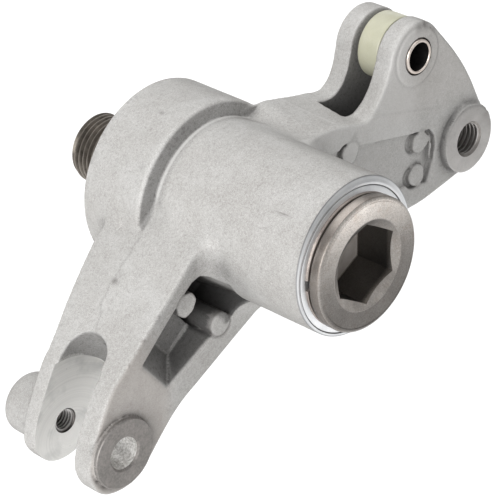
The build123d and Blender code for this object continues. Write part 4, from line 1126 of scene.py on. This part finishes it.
# painted highlight lines along the lower pocket's creases
valley_highlight = line3([(-26.4, -41.3, -30.2), (-35.2, -41.3, -38.0), (-41.9, -50.6, -42.1)], 0.6)
painted_highlight = np.maximum(painted_highlight, np.maximum(0.6 * valley_highlight, 0.45 * crest_highlight))
# painted highlight along the ridge over the top of the upper arm
painted_highlight = np.maximum(painted_highlight, 0.8 * line3([(30.7, -26.4, 24.9), (31.5, -33.0, 23.6), (33.0, -41.0, 22.4), (34.3, -47.5, 21.6)], 0.6))
painted_shade = painted_shade * (1 - 0.8 * lip_highlight) * (1 - 0.6 * valley_highlight) * (1 - 0.4 * crest_highlight)
# painted shade in concave creases
dirt_and_painted_shade = np.clip(-curv * 0.7 - 0.25, 0, 0.35)
# painted shade: thin dark contour round each stub
for cx, cz in ((38.9, 10.5), (73.9, 3.2), (72.5, -8.6), (-35.5, -16.7), (-20.9, -29.0)):
    rs = np.hypot(P[:, 0] - cx, P[:, 2] - cz)
    dirt_and_painted_shade = np.maximum(dirt_and_painted_shade, (0.55 if cx < 0 else 0.30) * np.exp(-((rs - 4.3) / 0.45) ** 2) * smooth(-P[:, 1], 49.4, 50.0))
# faint parting line down the left wall of the lower arm
pls = np.interp(s_ax, [18.0, 45.5, 49.9, 54.7, 60.6], [-28.0, -28.2, -28.8, -31.0, -33.3])
plm = np.exp(-((P[:, 1] - pls - 0.25 * np.sin(s_ax * 0.9)) / 0.42) ** 2) * smooth(-t_ax, 14.0, 16.0) * smooth(s_ax, 24.5, 27.0) * smooth(-s_ax, -60.5, -58.0)
dirt_and_painted_shade = np.maximum(dirt_and_painted_shade, 0.22 * plm)
for c, r, k in (((-19.1, -76.8, 18.3), 0.7, 0.6), ((-12.0, -16.0, 30.0), 0.7, 0.45), ((-26.6, -22.9, 18.1), 0.9, 0.35), ((-46.0, -28.9, -12.0), 1.15, 1.0), ((-44.3, -29.6, -10.6), 0.8, 0.5), ((-74.0, -50.8, -62.6), 1.8, 0.5),
                ((-71.6, -51.4, -66.0), 1.6, 0.5), ((74.2, -50.9, 46.0), 2.2, 0.55), ((71.0, -51.0, 45.5), 1.6, 0.45), ((78.5, -51.0, 43.0), 1.5, 0.35),
                ((105.8, -52.9, 5.4), 2.4, 0.5), ((108.0, -52.0, 1.4), 2.0, 0.4)):
    dirt_and_painted_shade = np.maximum(dirt_and_painted_shade, k * blob(c, r))
warm = np.clip(smooth(s_ax, 46.0, 62.0) * smooth(-P[:, 1], 50.4, 50.9) * smooth(P[:, 0], -40.0, -48.0), 0, 1) * 0.8
warm = np.maximum(warm, 0.35 * smooth(-P[:, 1], 50.4, 50.9) * smooth(P[:, 0], 50.0, 62.0) * smooth(P[:, 2], 10.0, 20.0))
polish = np.zeros(len(P))
for nm, arr in (("painted_highlight", painted_highlight), ("dirt_and_painted_shade", dirt_and_painted_shade), ("warm", warm), ("polish", polish), ("painted_shade", painted_shade)):
    at = skin.data.attributes.new(nm, "FLOAT", "POINT")
    at.data.foreach_set("value", np.ascontiguousarray(arr, F4))
finish_normals(skin, 38.0)
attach(skin, "lever")
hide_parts("lever_casting")

# ==========================================================================
# bearing bolt
# ==========================================================================
bolt = lathe("bearing_bolt_body", [
    (0, -94.0), (20.5, -94.0), (20.65, -93.88), (20.8, -94.0), (21.1, -94.0), (21.3, -93.93), (22.0, -93.4), (22.1, -93.2), (22.1, -90.35), (21.8, -90.0), (18.6, -90.0), (18.6, -91.4),
    (16.4, -91.4), (16.4, -90.0), (14.0, -90.0), (14.0, -3.6), (13.0, -3.6), (13.0, -2.0), (14.0, -2.0), (14.0, -0.4), (13.6, 0.0),
    (11.0, 0.0), (10.6, 1.0), (0, 1.0)], n=160, mats=(M_BOLT, M_THREAD, M_HEX_FLOOR_LIGHT))
hexp = [(24.0 / math.sqrt(3) * math.cos(math.radians(31.7 + 60 * i)), 24.0 / math.sqrt(3) * math.sin(math.radians(31.7 + 60 * i)))
        for i in range(6)]
boolean(bolt, prism("cut_hex", hexp, -99.0, -78.3))
boolean(bolt, lathe("cut_cone", [(0, -96.0), (17.46, -96.0), (14.95, -94.0), (14.75, -93.86), (11.6, -92.1), (0, -92.1)], n=160))
stub = screw_solid("stub_thread", (0.0, 0.0), 0.2, 30.0, 2.0, [(0.0, 11.98), (0.22, 11.98), (0.80, 10.85), (1.30, 10.85)],
                   lambda y: min(12.0, 10.6 + (30.0 - y) * 1.0, 11.0 + max(y - 0.2, 0.0) * 1.2), 96, mats=(M_BOLT, M_THREAD, M_HEX_FLOOR_LIGHT))
boolean(bolt, stub, "UNION")
cen, nor = poly_centres(bolt.data)
mi = np.where(cen[:, 1] > 0.05, 1, 0).astype(np.int32)
mi[(np.hypot(cen[:, 0], cen[:, 2]) < 13.9) & (cen[:, 1] > -78.6) & (cen[:, 1] < -78.0)] = 2
bolt.data.polygons.foreach_set("material_index", mi)
finish_normals(bolt, 28.0)
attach(bolt, "bolt")
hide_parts("bearing_bolt")

# ==========================================================================
# front bush with its split flange
# ==========================================================================
g = 1.7 / 21.0
mid = math.atan2(-0.7, -19.0)
bush = lathe("front_bush_ring", [(14.05, -88.8), (14.2, -89.15), (14.5, -89.3), (21.85, -89.3), (22.0, -89.15), (22.0, -88.45), (16.0, -88.42),
                                 (15.98, -62.4), (15.6, -62.0), (14.35, -62.0), (14.05, -62.3)],
             n=120, closed=True, mats=(M_BUSH,), span=(mid + g, mid + 2 * math.pi - g))
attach(bush, frame["nodes"]["front_bush"]["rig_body"])
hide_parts("front_bush")

# ==========================================================================
# spring sleeve and roller
# ==========================================================================
sleeve = lathe("spring_sleeve_tube", [(4.85, -51.0), (4.9, -51.42), (5.05, -51.64), (5.3, -51.7), (5.65, -51.68), (5.86, -51.52), (5.98, -51.15),
                                      (6.0, -50.8), (6.0, -26.1), (5.9, -25.5), (5.6, -25.3), (5.1, -25.3), (4.9, -25.5), (4.85, -25.9)],
               SLEEVE, 96, closed=True, mats=(M_SLEEVE, M_SLEEVE_BORE_SHADE), smooth=35.0)
cen, nor = poly_centres(sleeve.data)
rs = np.hypot(cen[:, 0] - SLEEVE[0], cen[:, 2] - SLEEVE[1])
sleeve.data.polygons.foreach_set("material_index", np.where((rs < 4.89) & (cen[:, 1] > -51.38), 1, 0).astype(np.int32))
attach(sleeve, frame["nodes"]["spring_sleeve"]["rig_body"])
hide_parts("spring_sleeve")
roller = lathe("spring_roller_ring", [(6.08, -42.6), (6.4, -42.88), (6.9, -42.9), (10.7, -42.9), (11.15, -42.75), (11.36, -42.4), (11.4, -42.0),
                                      (11.4, -35.1), (11.36, -34.7), (11.15, -34.35), (10.7, -34.2), (6.9, -34.2), (6.4, -34.22), (6.08, -34.5)],
               SLEEVE, 128, closed=True, mats=(M_ROLLER,), smooth=35.0)
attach(roller, "roller")
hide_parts("spring_roller")

# ==========================================================================
# pieces kept from the frame, with their finish
# ==========================================================================
for n, mat in (("rear_bush", M_BUSH), ("front_seal_ring", M_RUBBER), ("rear_shaft_seal", M_RUBBER),
               ("rear_thrust_washer", M_WASHER), ("retaining_ring", M_RING)):
    ob = nodes[n]
    for s in ob.material_slots:
        s.material = mat
    if not ob.material_slots:
        ob.data.materials.append(mat)

# ==========================================================================
# floor, camera, light
# ==========================================================================
m = Mat("floor_paint")
fn = m.noise(6.0, 2.0)
floor_mat = m.done(m.mix(m.maprange(fn, 0.4, 0.6), lin(251, 251, 251), lin(253, 253, 253)), m.maprange(fn, 0.3, 0.7, 0.75, 0.85), 0.0,
                   m.bump(m.noise(400.0), 0.05, 0.02))
me = bpy.data.meshes.new("floor")
R = 6.0
me.from_pydata([(-R, -R, -0.19), (R, -R, -0.19), (R, R, -0.19), (-R, R, -0.19)], [], [(0, 1, 2, 3)])
floor = bpy.data.objects.new("floor", me)
bpy.context.scene.collection.objects.link(floor)
me.materials.append(floor_mat)

cam_data = bpy.data.cameras.new("camera")
cam_data.lens = 165.6
cam_data.sensor_width = 36.0
cam_data.clip_start = 0.01
cam_data.clip_end = 50.0
cam = bpy.data.objects.new("camera", cam_data)
bpy.context.scene.collection.objects.link(cam)
back = Vector((-0.6313, -0.6252, 0.459)).normalized()
right = Vector((0.7037, -0.7105, 0.0))
right = (right - right.dot(back) * back).normalized()
up = back.cross(right).normalized()
M4 = Matrix((right, up, back)).transposed().to_4x4()
M4.translation = Vector((-0.4659, -0.5047, 0.3256))
cam.matrix_world = M4
bpy.context.scene.camera = cam


def area(name, loc, target, size, power, color=(1, 1, 1), size_y=None):
    d = bpy.data.lights.new(name, "AREA")
    d.shape = "RECTANGLE" if size_y else "SQUARE"
    d.size = size
    if size_y:
        d.size_y = size_y
    d.energy = power
    d.color = color
    o = bpy.data.objects.new(name, d)
    bpy.context.scene.collection.objects.link(o)
    o.location = loc
    o.rotation_euler = (Vector(target) - Vector(loc)).to_track_quat("-Z", "Y").to_euler()
    return o


area("key", (-1.24, -0.45, 0.36), (0, -0.03, 0), 1.0, 18.5)
area("top", (0.12, 0.24, 1.35), (0.10, 0.12, 0), 1.5, 15.0)
area("ground", (1.0, 1.0, 0.32), (0.98, 0.98, -0.19), 1.1, 7.0)

world = bpy.data.worlds.new("studio")
bpy.context.scene.world = world
world.use_nodes = True
bg = world.node_tree.nodes["Background"]
bg.inputs[0].default_value = (1.0, 1.0, 1.0, 1.0)
bg.inputs[1].default_value = 0.42
bpy.context.scene.view_settings.view_transform = "Standard"
bpy.context.scene.view_settings.look = "None"

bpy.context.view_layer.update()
for ob in (skin, bolt, bush, sleeve, roller):
    n = sum(len(p.vertices) - 2 for p in ob.data.polygons)
    print("tris", ob.name, n)
